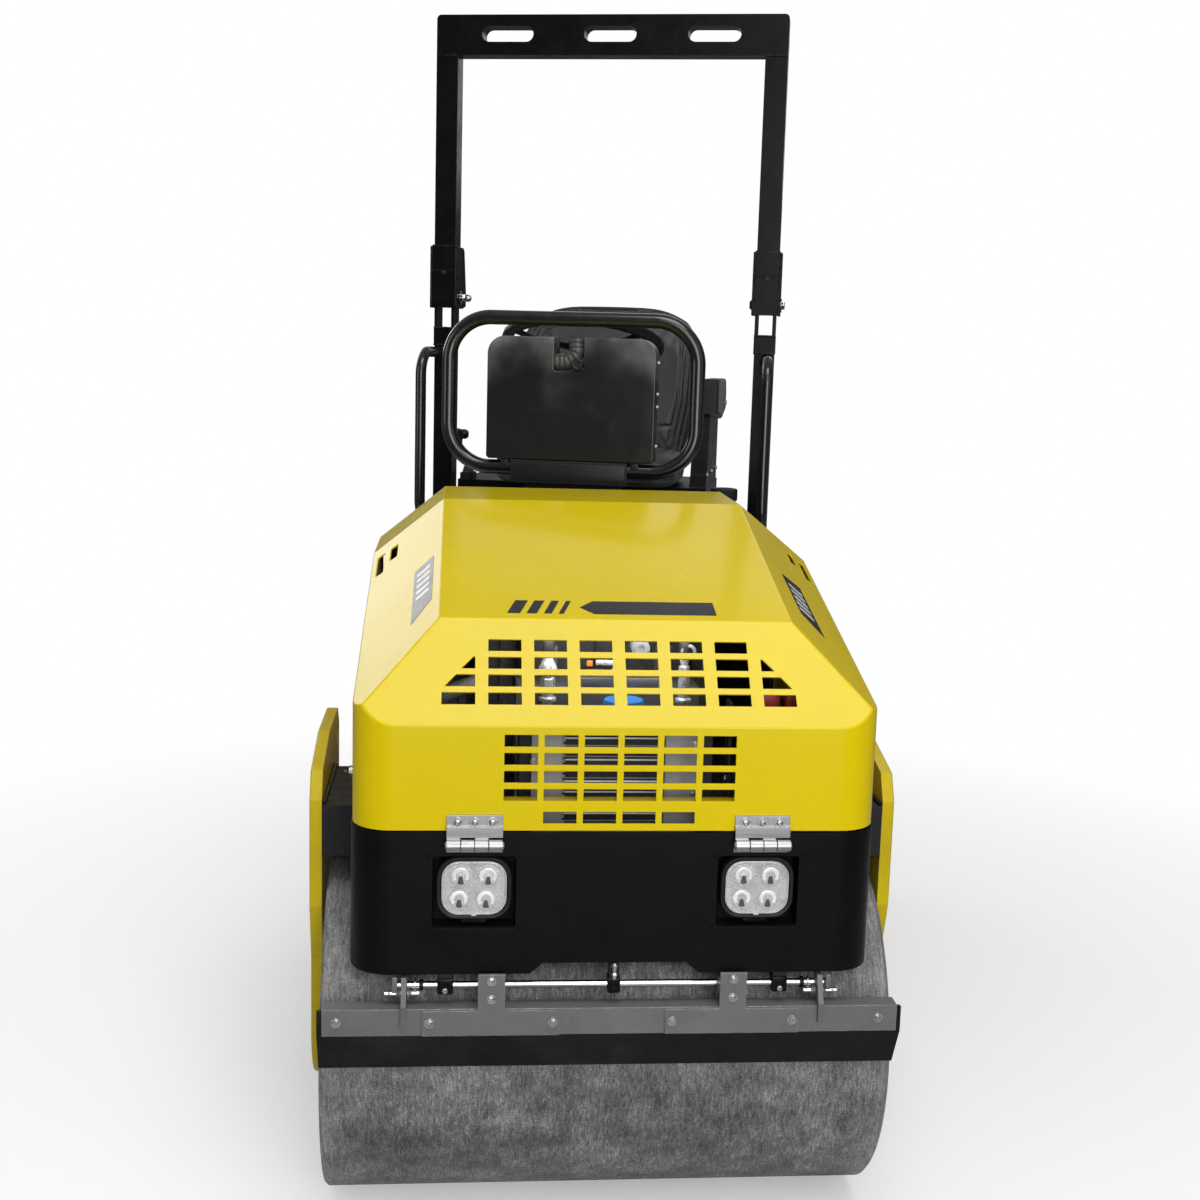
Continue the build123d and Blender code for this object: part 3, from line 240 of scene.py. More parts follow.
class Piece:
    """gathers shapes, then becomes one joined mesh on a body"""

    def __init__(self, name, place, mats):
        self.name, self.place, self.mats = name, place, mats
        self.bm = bmesh.new()

    def add(self, bm, matrix=None, mat=0, smooth=True):
        if matrix is not None:
            bm.transform(matrix)
            if matrix.to_3x3().determinant() < 0:
                bmesh.ops.reverse_faces(bm, faces=bm.faces)
        for f in bm.faces:
            f.material_index = mat
            f.smooth = smooth
        me = bpy.data.meshes.new("part")
        bm.to_mesh(me)
        bm.free()
        self.bm.from_mesh(me)
        bpy.data.meshes.remove(me)
        return self

    def bolt(self, pos, axis, af=13.0, h=6.0, washer=True, turn=0.0, mat=0, stud=0.0):
        """hexagon head with chamfered crown on a washer"""
        m = toward(pos, axis) @ rot(turn, "Z")
        z = 0.0
        if washer:
            w = af * 0.92
            self.add(b_lathe([(w * 0.5, 0), (w * 0.98, 0), (w, 0.4), (w, 1.3), (w * 0.97, 1.7),
                              (w * 0.5, 1.7)], 24), m, mat)
            z = 1.6
        self.add(b_loops([hexagon(af, z), hexagon(af, z + h * 0.78), hexagon(af, z + h, 0.86)]),
                 m, mat)
        if stud > 0:
            r = af * 0.3
            self.add(b_lathe([(r, z + h - 0.5), (r, z + h + stud - 1), (r - 1, z + h + stud),
                              (0, z + h + stud)], 14), m, mat)
        return self

    def button(self, pos, axis, r=5.0, h=3.0, washer=0.0, mat=0):
        """domed screw head with a socket"""
        m = toward(pos, axis)
        z = 0.0
        if washer:
            self.add(b_lathe([(r * 0.6, 0), (washer, 0), (washer, 0.9), (washer - 0.4, 1.3),
                              (r * 0.6, 1.3)], 24), m, mat)
            z = 1.2
        self.add(b_lathe([(r, z), (r, z + h * 0.35), (r * 0.86, z + h * 0.78),
                          (r * 0.55, z + h), (r * 0.42, z + h), (r * 0.36, z + h * 0.4),
                          (0, z + h * 0.4)], 20), m, mat)
        return self

    def done(self, body, replaces=(), angle=35.0, subdivide=0, bevel=0.0):
        self.bm.transform(self.place)
        me = bpy.data.meshes.new(self.name)
        self.bm.to_mesh(me)
        self.bm.free()
        for m in self.mats:
            me.materials.append(m)
        me.set_sharp_from_angle(angle=radians(angle))
        ob = bpy.data.objects.new(self.name, me)
        bpy.context.scene.collection.objects.link(ob)
        if bevel > 0:
            b = ob.modifiers.new("rounding", "BEVEL")
            b.width, b.segments, b.limit_method = bevel, 2, "ANGLE"
            b.angle_limit = radians(40)
        if subdivide:
            ob.modifiers.new("surface", "SUBSURF").levels = subdivide
            ob.modifiers["surface"].render_levels = subdivide
        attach(ob, body)
        if replaces:
            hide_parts(*replaces)
        return ob


# ---------------------------------------------------------------------------
# materials
# ---------------------------------------------------------------------------
class Nodes:
    def __init__(self, name):
        self.mat = bpy.data.materials.new(name)
        self.mat.use_nodes = True
        self.nt = self.mat.node_tree
        self.nt.nodes.clear()
        self.out = self.nt.nodes.new("ShaderNodeOutputMaterial")
        self.b = self.nt.nodes.new("ShaderNodeBsdfPrincipled")
        self.link(self.b.outputs[0], self.out.inputs[0])
        self.coord = self.nt.nodes.new("ShaderNodeTexCoord").outputs["Object"]

    def link(self, a, b):
        self.nt.links.new(a, b)

    def node(self, kind, **sockets):
        n = self.nt.nodes.new(kind)
        for k, v in sockets.items():
            sock = n.inputs[int(k[1:]) if k[0] == "i" and k[1:].isdigit() else k.replace("_", " ")]
            if hasattr(v, "is_output"):
                self.link(v, sock)
            else:
                sock.default_value = v
        return n

    def noise(self, scale, detail=3.0, rough=0.55, vector=None):
        n = self.node("ShaderNodeTexNoise", Scale=scale, Detail=detail, Roughness=rough)
        self.link(self.coord if vector is None else vector, n.inputs["Vector"])
        return n.outputs[0]

    def mapped(self, scale=(1, 1, 1), turn=(0, 0, 0), shift=(0, 0, 0)):
        m = self.node("ShaderNodeMapping")
        self.link(self.coord, m.inputs["Vector"])
        m.inputs["Scale"].default_value = scale
        m.inputs["Rotation"].default_value = turn
        m.inputs["Location"].default_value = shift
        return m.outputs[0]

    def span(self, value, a, b, lo=0.3, hi=0.7):
        n = self.node("ShaderNodeMapRange", i0=value, i1=lo, i2=hi, i3=a, i4=b)
        return n.outputs[0]

    def math(self, op, a, b=0.0):
        n = self.node("ShaderNodeMath", i0=a, i1=b)
        n.operation = op
        return n.outputs[0]

    def scaled(self, colour, value):
        n = self.nt.nodes.new("ShaderNodeVectorMath")
        n.operation = "SCALE"
        if hasattr(colour, "is_output"):
            self.link(colour, n.inputs[0])
        else:
            n.inputs[0].default_value = colour[:3]
        self.link(value, n.inputs["Scale"])
        return n.outputs[0]

    def mix(self, fac, a, b):
        n = self.nt.nodes.new("ShaderNodeMix")
        n.data_type = "RGBA"
        for sock, v in ((n.inputs[0], fac), (n.inputs[6], a), (n.inputs[7], b)):
            if hasattr(v, "is_output"):
                self.link(v, sock)
            else:
                sock.default_value = v if not isinstance(v, tuple) else (*v[:3], 1.0)
        return n.outputs[2]

    def up(self):
        """how far a face looks up, 0 to 1"""
        g = self.nt.nodes.new("ShaderNodeNewGeometry")
        s = self.nt.nodes.new("ShaderNodeSeparateXYZ")
        self.link(g.outputs["Normal"], s.inputs[0])
        return self.span(s.outputs[2], 0.0, 1.0, 0.2, 1.0)


def finish(name, col, rough, metal=0.0, spec=0.5, coat=0.0, coat_rough=0.05, mottle=(3.0, 0.05),
           fine=(120.0, 0.04), rvar=0.05, bump=(500.0, 0.15, 0.0002), stretch=None, edge=0.0,
           dust=None, grime=None, sheen=0.0, ripple=None, wear=None):
    n = Nodes(name)
    vec = n.mapped(stretch) if stretch else None
    big = n.noise(mottle[0], 4.0)
    small = n.noise(fine[0], 4.0, 0.6, vec)
    value = n.math("MULTIPLY", n.span(big, 1 - mottle[1], 1 + mottle[1]),
                   n.span(small, 1 - fine[1], 1 + fine[1]))
    colour = n.scaled(col, value)
    rough_v = n.span(n.noise(mottle[0] * 3.1, 4.0, 0.6, vec), rough - rvar, rough + rvar)
    if grime:
        # darker blotches
        g = n.span(n.noise(grime[2], 6.0, 0.65), 0.0, grime[1], 0.5, 0.72)
        colour = n.mix(g, colour, grime[0])
    if dust:
        d = n.math("MULTIPLY", n.up(), n.span(n.noise(26.0, 6.0, 0.7), 0.2, 1.0))
        d = n.math("MULTIPLY", d, dust[1])
        colour = n.mix(d, colour, dust[0])
        rough_v = n.math("ADD", rough_v, n.math("MULTIPLY", d, 0.5))
    normal = None
    if edge > 0:
        bev = n.node("ShaderNodeBevel", Radius=edge)
        bev.samples = 4
        normal = bev.outputs[0]
        if wear:
            # bare or lighter paint along worn edges
            g = n.nt.nodes.new("ShaderNodeNewGeometry")
            dot = n.nt.nodes.new("ShaderNodeVectorMath")
            dot.operation = "DOT_PRODUCT"
            n.link(bev.outputs[0], dot.inputs[0])
            n.link(g.outputs["Normal"], dot.inputs[1])
            e = n.span(dot.outputs["Value"], 1.0, 0.0, 0.90, 0.995)
            e = n.math("MULTIPLY", e, n.span(n.noise(60.0, 6.0, 0.7), 0.0, wear[1], 0.42, 0.6))
            colour = n.mix(e, colour, wear[0])
    if ripple:
        rb = n.node("ShaderNodeBump", Strength=ripple[1], Distance=ripple[2],
                    Height=n.noise(ripple[0], 1.0, 0.4))
        if normal is not None:
            n.link(normal, rb.inputs["Normal"])
        normal = rb.outputs[0]
    if bump:
        bb = n.node("ShaderNodeBump", Strength=bump[1], Distance=bump[2],
                    Height=n.noise(bump[0], 4.0, 0.6, vec))
        if normal is not None:
            n.link(normal, bb.inputs["Normal"])
        normal = bb.outputs[0]
    n.link(colour, n.b.inputs["Base Color"])
    n.link(rough_v, n.b.inputs["Roughness"])
    if normal is not None:
        n.link(normal, n.b.inputs["Normal"])
    n.b.inputs["Metallic"].default_value = metal
    n.b.inputs["Specular IOR Level"].default_value = spec
    n.b.inputs["Coat Weight"].default_value = coat
    n.b.inputs["Coat Roughness"].default_value = coat_rough
    if sheen:
        n.b.inputs["Sheen Weight"].default_value = sheen
        n.b.inputs["Sheen Roughness"].default_value = 0.4
    return n.mat


DUST = (0.30, 0.29, 0.27)
YELLOW = (0.72, 0.548, 0.0015)
m_hood = finish("hood_paint", YELLOW, 0.25, spec=0.16, coat=0.22, coat_rough=0.08,
                mottle=(2.2, 0.035), fine=(60, 0.012), rvar=0.04, bump=(900, 0.04, 0.0001),
                ripple=(5.5, 0.12, 0.006), edge=0.0016)
# the hood's yellow darkened for the side plates: painted shade, with real wear and grime on top
m_plate_shaded_yellow = finish("plate_paint_darkened_as_shade", (0.60, 0.455, 0.003), 0.36, spec=0.2, coat=0.12, coat_rough=0.15,
                 mottle=(6, 0.07), fine=(160, 0.04), rvar=0.06, bump=(420, 0.25, 0.0003),
                 ripple=(14, 0.2, 0.003), edge=0.003, wear=((0.30, 0.28, 0.25), 0.55),
                 grime=((0.28, 0.22, 0.03), 0.25, 11))
m_tail = finish("tail_paint", YELLOW, 0.28, spec=0.2, coat=0.3, coat_rough=0.08,
                mottle=(2.5, 0.04), fine=(80, 0.015), bump=(900, 0.05, 0.0001),
                ripple=(6, 0.12, 0.005), edge=0.002)
m_nose = finish("nose_satin", (0.0046, 0.0046, 0.0049), 0.38, spec=0.09, mottle=(5, 0.10),
                fine=(220, 0.10), rvar=0.06, bump=(1100, 0.16, 0.0002), edge=0.002,
                ripple=(7, 0.10, 0.004), dust=((0.06, 0.06, 0.06), 0.08))
m_frame = finish("frame_coat", (0.0048, 0.0048, 0.0052), 0.26, spec=0.12, mottle=(7, 0.12),
                 fine=(150, 0.12), rvar=0.08, bump=(700, 0.22, 0.0003), ripple=(30, 0.14, 0.0015),
                 edge=0.0025, wear=((0.09, 0.09, 0.095), 0.6), dust=(DUST, 0.02))
m_tube = finish("tube_coat", (0.0075, 0.0075, 0.008), 0.24, spec=0.4, coat=0.6, coat_rough=0.10,
                mottle=(9, 0.12), fine=(140, 0.10), rvar=0.06, bump=(600, 0.15, 0.0002),
                ripple=(35, 0.10, 0.001), edge=0.0015)
m_lid = finish("pedestal_coat", (0.013, 0.013, 0.0135), 0.38, spec=0.22, mottle=(8, 0.15),
               fine=(150, 0.12), rvar=0.08, bump=(600, 0.25, 0.0003), edge=0.002,
               wear=((0.12, 0.12, 0.12), 0.5), dust=(DUST, 0.08))
m_dark = finish("underbody", (0.012, 0.012, 0.013), 0.55, spec=0.25, mottle=(8, 0.2),
                fine=(90, 0.2), rvar=0.1, bump=(300, 0.4, 0.0005), edge=0.002,
                dust=(DUST, 0.16), grime=((0.035, 0.032, 0.03), 0.6, 9))
m_hinge = finish("brushed_stainless", (0.40, 0.40, 0.40), 0.34, metal=1.0, mottle=(20, 0.08),
                 fine=(900, 0.16), rvar=0.08, bump=(1400, 0.3, 0.0001), stretch=(0.02, 1, 1),
                 edge=0.0012)
m_zinc = finish("zinc_bolts", (0.50, 0.50, 0.49), 0.32, metal=1.0, mottle=(60, 0.18),
                fine=(700, 0.18), rvar=0.12, bump=(900, 0.35, 0.0002), edge=0.0006,
                grime=((0.12, 0.12, 0.115), 0.6, 180))
m_fitting = finish("plated_fittings", (0.80, 0.80, 0.79), 0.30, metal=0.75, mottle=(40, 0.12),
                   fine=(500, 0.10), rvar=0.08, bump=(700, 0.25, 0.0002), edge=0.0008)
m_chrome = finish("bright_shaft", (0.66, 0.66, 0.67), 0.16, metal=1.0, mottle=(18, 0.10),
                  fine=(500, 0.08), rvar=0.07, bump=(900, 0.10, 0.0001), stretch=(0.08, 1, 1),
                  grime=((0.22, 0.21, 0.20), 0.4, 40))
m_scraper = finish("scraper_grey", (0.150, 0.150, 0.152), 0.42, metal=0.15, spec=0.4,
                   mottle=(9, 0.08), fine=(260, 0.07), rvar=0.08, bump=(520, 0.20, 0.0003),
                   ripple=(24, 0.15, 0.002), edge=0.0025, wear=((0.42, 0.42, 0.42), 0.8),
                   dust=((0.26, 0.26, 0.25), 0.25), grime=((0.09, 0.09, 0.09), 0.35, 14))
m_rubber = finish("scraper_rubber", (0.0065, 0.0065, 0.0065), 0.60, spec=0.14, mottle=(7, 0.25),
                  fine=(190, 0.3), rvar=0.1, bump=(420, 0.5, 0.0006), edge=0.0015,
                  ripple=(16, 0.3, 0.002), grime=((0.03, 0.03, 0.029), 0.4, 8))
m_axle = finish("hub_coat", (0.020, 0.020, 0.021), 0.42, spec=0.3, mottle=(14, 0.2),
                fine=(160, 0.15), bump=(400, 0.3, 0.0004), edge=0.002, dust=(DUST, 0.12),
                wear=((0.22, 0.21, 0.2), 0.8))
m_engine = finish("cast_engine", (0.045, 0.046, 0.048), 0.6, mottle=(9, 0.3), fine=(180, 0.3),
                  bump=(260, 0.7, 0.0012), edge=0.004, dust=(DUST, 0.2))
m_alu = finish("cooler_alu", (0.62, 0.62, 0.63), 0.40, metal=0.35, mottle=(14, 0.12),
               fine=(300, 0.12), bump=(500, 0.3, 0.0003), edge=0.0006)
m_bracket = finish("bracket_grey", (0.30, 0.303, 0.306), 0.5, metal=0.1, mottle=(12, 0.12),
                   fine=(300, 0.1), bump=(400, 0.3, 0.0003), edge=0.001)
m_fins = finish("cooler_fins", (0.016, 0.016, 0.018), 0.6, metal=0.2, mottle=(30, 0.3),
                fine=(400, 0.3), bump=(900, 0.6, 0.0006))
m_battery = finish("battery_red", (0.42, 0.035, 0.022), 0.4, mottle=(10, 0.15), fine=(200, 0.1),
                   bump=(500, 0.25, 0.0004), edge=0.003, dust=(DUST, 0.10))
m_blue = finish("blue_cap", (0.02, 0.14, 0.42), 0.35, mottle=(30, 0.12), fine=(200, 0.08),
                bump=(400, 0.2, 0.0003), edge=0.001)
m_orange = finish("orange_tag", (0.60, 0.16, 0.02), 0.4, mottle=(30, 0.12), fine=(200, 0.08),
                  bump=(400, 0.2, 0.0003))
m_valve = finish("valve_block", (0.14, 0.14, 0.145), 0.38, metal=0.6, mottle=(12, 0.15),
                 fine=(260, 0.15), bump=(500, 0.3, 0.0003), edge=0.001, dust=(DUST, 0.1))
m_filter = finish("filter_case", (0.012, 0.012, 0.012), 0.5, mottle=(9, 0.2), fine=(180, 0.15),
                  bump=(420, 0.4, 0.0005), edge=0.002, dust=(DUST, 0.12))
m_hose = finish("hose_rubber", (0.012, 0.012, 0.012), 0.48, spec=0.3, mottle=(20, 0.2),
                fine=(300, 0.15), bump=(600, 0.4, 0.0004))
m_greyhose = finish("grey_hose", (0.14, 0.14, 0.14), 0.5, mottle=(20, 0.2), fine=(300, 0.15),
                    bump=(600, 0.4, 0.0004))
m_boot = finish("boot_rubber", (0.045, 0.045, 0.045), 0.38, spec=0.5, mottle=(30, 0.2),
                fine=(300, 0.15), bump=(500, 0.3, 0.0004), dust=((0.2, 0.2, 0.2), 0.3))
m_grip = finish("wheel_grip", (0.009, 0.009, 0.009), 0.40, spec=0.3, mottle=(12, 0.15),
                fine=(300, 0.15), bump=(900, 0.5, 0.0004))
m_plastic = finish("black_plastic", (0.011, 0.011, 0.011), 0.44, spec=0.28, mottle=(10, 0.15),
                   fine=(240, 0.12), bump=(800, 0.45, 0.0004), edge=0.001,
                   dust=((0.2, 0.2, 0.2), 0.08))
m_arm = finish("armrest_skin", (0.012, 0.012, 0.013), 0.5, spec=0.3, mottle=(12, 0.15),
               fine=(240, 0.12), bump=(700, 0.6, 0.0005), sheen=0.12)
m_tank = finish("tank_skin", (0.014, 0.014, 0.0145), 0.48, spec=0.3, mottle=(6, 0.15),
                fine=(160, 0.12), bump=(420, 0.5, 0.0006), edge=0.004, dust=(DUST, 0.15))
m_lampglass = finish("lamp_relief", (0.58, 0.58, 0.59), 0.26, metal=0.1, spec=0.6, coat=0.6,
                     coat_rough=0.03, mottle=(60, 0.12), fine=(700, 0.12), rvar=0.06,
                     bump=(1500, 0.3, 0.0002))
# painted highlight: near-white arches drawn in the headlight's reflector cups
m_cup_painted_highlight = finish("lamp_cup_painted_highlight", (0.93, 0.93, 0.94), 0.20, metal=0.1, mottle=(90, 0.10),
                  fine=(500, 0.06), rvar=0.05, bump=(300, 0.10, 0.0004))
# painted dark reflection: dark grey wedges drawn low in the reflector cups
m_cup_painted_dark = finish("lamp_cup_painted_dark_reflection", (0.085, 0.085, 0.085), 0.25, spec=0.6, coat=0.6, mottle=(200, 0.15),
               fine=(900, 0.1), bump=(900, 0.2, 0.0002))
m_rod = finish("cylinder_chrome", (0.70, 0.70, 0.71), 0.10, metal=1.0, mottle=(20, 0.06),
               fine=(500, 0.05), rvar=0.04, bump=(900, 0.06, 0.0001))
m_decal = finish("dark_film", (0.010, 0.010, 0.014), 0.26, spec=0.3, coat=0.2, mottle=(9, 0.1),
                 fine=(200, 0.06), bump=(900, 0.08, 0.0001))
m_stripe = finish("white_film", (0.62, 0.62, 0.60), 0.30, spec=0.4, coat=0.3, mottle=(9, 0.05),
                  fine=(200, 0.04), bump=(900, 0.08, 0.0001))


def console_gloss():
    """gloss black sheet, wavy; its upper part is painted a lighter grey in patches as a painted reflection, and
    made duller there
    """
    n = Nodes("console_gloss")
    sep = n.nt.nodes.new("ShaderNodeSeparateXYZ")
    n.link(n.coord, sep.inputs[0])
    high = n.span(n.math("ADD", sep.outputs[2], n.span(n.noise(9.0, 2.0), -0.045, 0.045)),
                  0.0, 1.0, 1.330, 1.450)
    high = n.math("MULTIPLY", high, high)
    cloud = n.span(n.noise(6.0, 3.0, 0.5), 0.35, 1.0, 0.42, 0.60)
    scuff = n.span(n.noise(1.0, 4.0, 0.7, n.mapped((30, 30, 14), (0, 0.7, 0))), 0.6, 1.0)
    # painted reflection: lighter grey patches high on the case, with a little more roughness
    haze_and_painted_sheen = n.math("MULTIPLY", n.math("MULTIPLY", high, cloud), scuff)
    base = n.scaled((0.0125, 0.0125, 0.013), n.span(n.noise(5.0), 0.85, 1.15))
    n.link(n.mix(haze_and_painted_sheen, base, (0.25, 0.25, 0.252)), n.b.inputs["Base Color"])
    n.link(n.math("ADD", n.span(n.noise(13.0), 0.14, 0.22), n.math("MULTIPLY", haze_and_painted_sheen, 0.25)),
           n.b.inputs["Roughness"])
    n.b.inputs["Specular IOR Level"].default_value = 0.28
    n.b.inputs["Coat Weight"].default_value = 0.2
    n.b.inputs["Coat Roughness"].default_value = 0.06
    bev = n.node("ShaderNodeBevel", Radius=0.0015)
    bev.samples = 4
    b0 = n.node("ShaderNodeBump", Strength=0.5, Distance=0.006, Height=n.noise(9.0, 2.0))
    n.link(bev.outputs[0], b0.inputs["Normal"])
    b1 = n.node("ShaderNodeBump", Strength=0.1, Distance=0.0002, Height=n.noise(700.0))
    n.link(b0.outputs[0], b1.inputs["Normal"])
    n.link(b1.outputs[0], n.b.inputs["Normal"])
    return n.mat


m_console = console_gloss()


def drum_steel(name, turn, centre):
    """rolled steel, scuffed round the drum, with blotches and scratches"""
    n = Nodes(name)
    local = n.node("ShaderNodeMapping")
    local.vector_type = "TEXTURE"
    n.link(n.coord, local.inputs["Vector"])
    local.inputs["Location"].default_value = centre
    local.inputs["Rotation"].default_value = (0, 0, turn)
    base = local.outputs[0]

    def scaled(sx, sy, sz):
        m = n.node("ShaderNodeMapping")
        n.link(base, m.inputs["Vector"])
        m.inputs["Scale"].default_value = (sx, sy, sz)
        return m.outputs[0]

    blotch = n.noise(5.0, 5.0, 0.6, base)
    patch = n.noise(22.0, 5.0, 0.65, base)
    streak = n.noise(1.0, 5.0, 0.65, scaled(170, 34, 34))
    hair = n.noise(1.0, 4.0, 0.65, scaled(430, 85, 85))
    grain = n.noise(340.0, 4.0, 0.7, base)
    v = n.math("MULTIPLY", n.span(blotch, 0.62, 1.38), n.span(patch, 0.55, 1.45))
    v = n.math("MULTIPLY", v, n.span(streak, 0.60, 1.40))
    v = n.math("MULTIPLY", v, n.span(hair, 0.50, 1.50))
    v = n.math("MULTIPLY", v, n.span(grain, 0.45, 1.55))
    colour = n.scaled((0.172, 0.172, 0.171), v)
    # brighter scuffs towards the edges of the drum
    sep = n.nt.nodes.new("ShaderNodeSeparateXYZ")
    n.link(base, sep.inputs[0])
    rim = n.span(n.math("ABSOLUTE", sep.outputs[0]), 0.0, 1.0, 0.39, 0.45)
    rim = n.math("MULTIPLY", rim, n.span(n.noise(1.0, 6.0, 0.75, scaled(230, 26, 26)), 0.0, 1.0,
                                         0.42, 0.62))
    colour = n.mix(n.math("MULTIPLY", rim, 0.55), colour, (0.36, 0.36, 0.36))
    pits = n.span(n.noise(95.0, 6.0, 0.8, base), 0.0, 0.75, 0.60, 0.72)
    colour = n.mix(pits, colour, (0.045, 0.044, 0.042))
    n.link(colour, n.b.inputs["Base Color"])
    r = n.math("ADD", n.span(patch, 0.44, 0.60), n.span(streak, -0.06, 0.06))
    n.link(r, n.b.inputs["Roughness"])
    n.b.inputs["Metallic"].default_value = 0.35
    n.b.inputs["Specular IOR Level"].default_value = 0.35
    bev = n.node("ShaderNodeBevel", Radius=0.004)
    bev.samples = 4
    b1 = n.node("ShaderNodeBump", Strength=0.5, Distance=0.0006, Height=streak)
    n.link(bev.outputs[0], b1.inputs["Normal"])
    b2 = n.node("ShaderNodeBump", Strength=0.55, Distance=0.0006, Height=grain)
    n.link(b1.outputs[0], b2.inputs["Normal"])
    n.link(b2.outputs[0], n.b.inputs["Normal"])
    return n.mat


m_drum_f = drum_steel("drum_steel_front", 0.0, FRONT @ Vector((0, 0, 295)))
m_drum_r = drum_steel("drum_steel_rear", -STEER, REAR @ Vector((0, 725, 295)))


def vinyl():
    """black grained vinyl"""
    n = Nodes("seat_vinyl")
    vor = n.nt.nodes.new("ShaderNodeTexVoronoi")
    vor.feature = "DISTANCE_TO_EDGE"
    vor.inputs["Scale"].default_value = 420.0
    n.link(n.coord, vor.inputs["Vector"])
    crease = n.span(vor.outputs["Distance"], 0.0, 1.0, 0.0, 0.18)
    big = n.noise(9.0, 4.0)
    v = n.math("MULTIPLY", n.span(big, 0.88, 1.12), n.span(crease, 0.75, 1.05, 0.0, 1.0))
    n.link(n.scaled((0.027, 0.027, 0.028), v), n.b.inputs["Base Color"])
    n.link(n.span(n.noise(30.0, 4.0), 0.36, 0.50), n.b.inputs["Roughness"])
    n.b.inputs["Specular IOR Level"].default_value = 0.55
    n.b.inputs["Sheen Weight"].default_value = 0.12
    n.b.inputs["Sheen Roughness"].default_value = 0.4
    b0 = n.node("ShaderNodeBump", Strength=0.18, Distance=0.002, Height=n.noise(38.0, 3.0))
    b1 = n.node("ShaderNodeBump", Strength=0.35, Distance=0.0004, Height=crease)
    n.link(b0.outputs[0], b1.inputs["Normal"])
    n.link(b1.outputs[0], n.b.inputs["Normal"])
    return n.mat


m_vinyl = vinyl()


def tread_plate():
    """black plate with the wear of boots"""
    return finish("platform_plate", (0.016, 0.016, 0.017), 0.4, metal=0.1, mottle=(7, 0.2),
                  fine=(150, 0.2), bump=(300, 0.3, 0.0004), edge=0.001,
                  dust=(DUST, 0.30), wear=((0.3, 0.3, 0.3), 0.7))


m_tread = tread_plate()


def red_lens(name, col):
    n = Nodes(name)
    wave = n.nt.nodes.new("ShaderNodeTexWave")
    wave.inputs["Scale"].default_value = 60.0
    wave.inputs["Distortion"].default_value = 0.6
    n.link(n.coord, wave.inputs["Vector"])
    v = n.math("MULTIPLY", n.span(wave.outputs["Fac"], 0.8, 1.15, 0.0, 1.0),
               n.span(n.noise(40.0), 0.92, 1.08))
    n.link(n.scaled(col, v), n.b.inputs["Base Color"])
    n.link(n.span(n.noise(60.0), 0.10, 0.20), n.b.inputs["Roughness"])
    n.b.inputs["Coat Weight"].default_value = 1.0
    n.b.inputs["Subsurface Weight"].default_value = 0.15
    n.b.inputs["Subsurface Radius"].default_value = (0.01, 0.003, 0.002)
    b = n.node("ShaderNodeBump", Strength=0.4, Distance=0.001, Height=wave.outputs["Fac"])
    n.link(b.outputs[0], n.b.inputs["Normal"])
    return n.mat


def shaft_steel(name, turn, centre):
    """bright rod with painted end plates"""
    n = Nodes(name)
    local = n.node("ShaderNodeMapping")
    local.vector_type = "TEXTURE"
    n.link(n.coord, local.inputs["Vector"])
    local.inputs["Location"].default_value = centre
    local.inputs["Rotation"].default_value = (0, 0, turn)
    sep = n.nt.nodes.new("ShaderNodeSeparateXYZ")
    n.link(local.outputs[0], sep.inputs[0])
    side = n.math("ABSOLUTE", sep.outputs[0])
    plate = n.math("MULTIPLY", n.span(side, 0.0, 1.0, 0.3138, 0.3144),
                   n.span(side, 1.0, 0.0, 0.3236, 0.3242))
    paint = n.scaled((0.120, 0.120, 0.121), n.span(n.noise(30.0, 4.0), 0.8, 1.2))
    rod = n.scaled((0.66, 0.66, 0.67), n.span(n.noise(18.0), 0.85, 1.1))
    n.link(n.mix(plate, rod, paint), n.b.inputs["Base Color"])
    n.link(n.span(plate, 1.0, 0.1, 0.0, 1.0), n.b.inputs["Metallic"])
    n.link(n.math("ADD", n.span(n.noise(60.0), 0.14, 0.22), n.math("MULTIPLY", plate, 0.3)),
           n.b.inputs["Roughness"])
    b = n.node("ShaderNodeBump", Strength=0.2, Distance=0.0003, Height=n.noise(300.0))
    n.link(b.outputs[0], n.b.inputs["Normal"])
    return n.mat


shaft_f = shaft_steel("bright_shaft_front", 0.0, FRONT @ Vector((0, 0, 0)))
shaft_r = shaft_steel("bright_shaft_rear", -STEER, REAR @ Vector((0, 725, 0)))
m_red = red_lens("red_lens", (0.42, 0.008, 0.006))
m_amber = red_lens("amber_lens", (0.62, 0.20, 0.01))

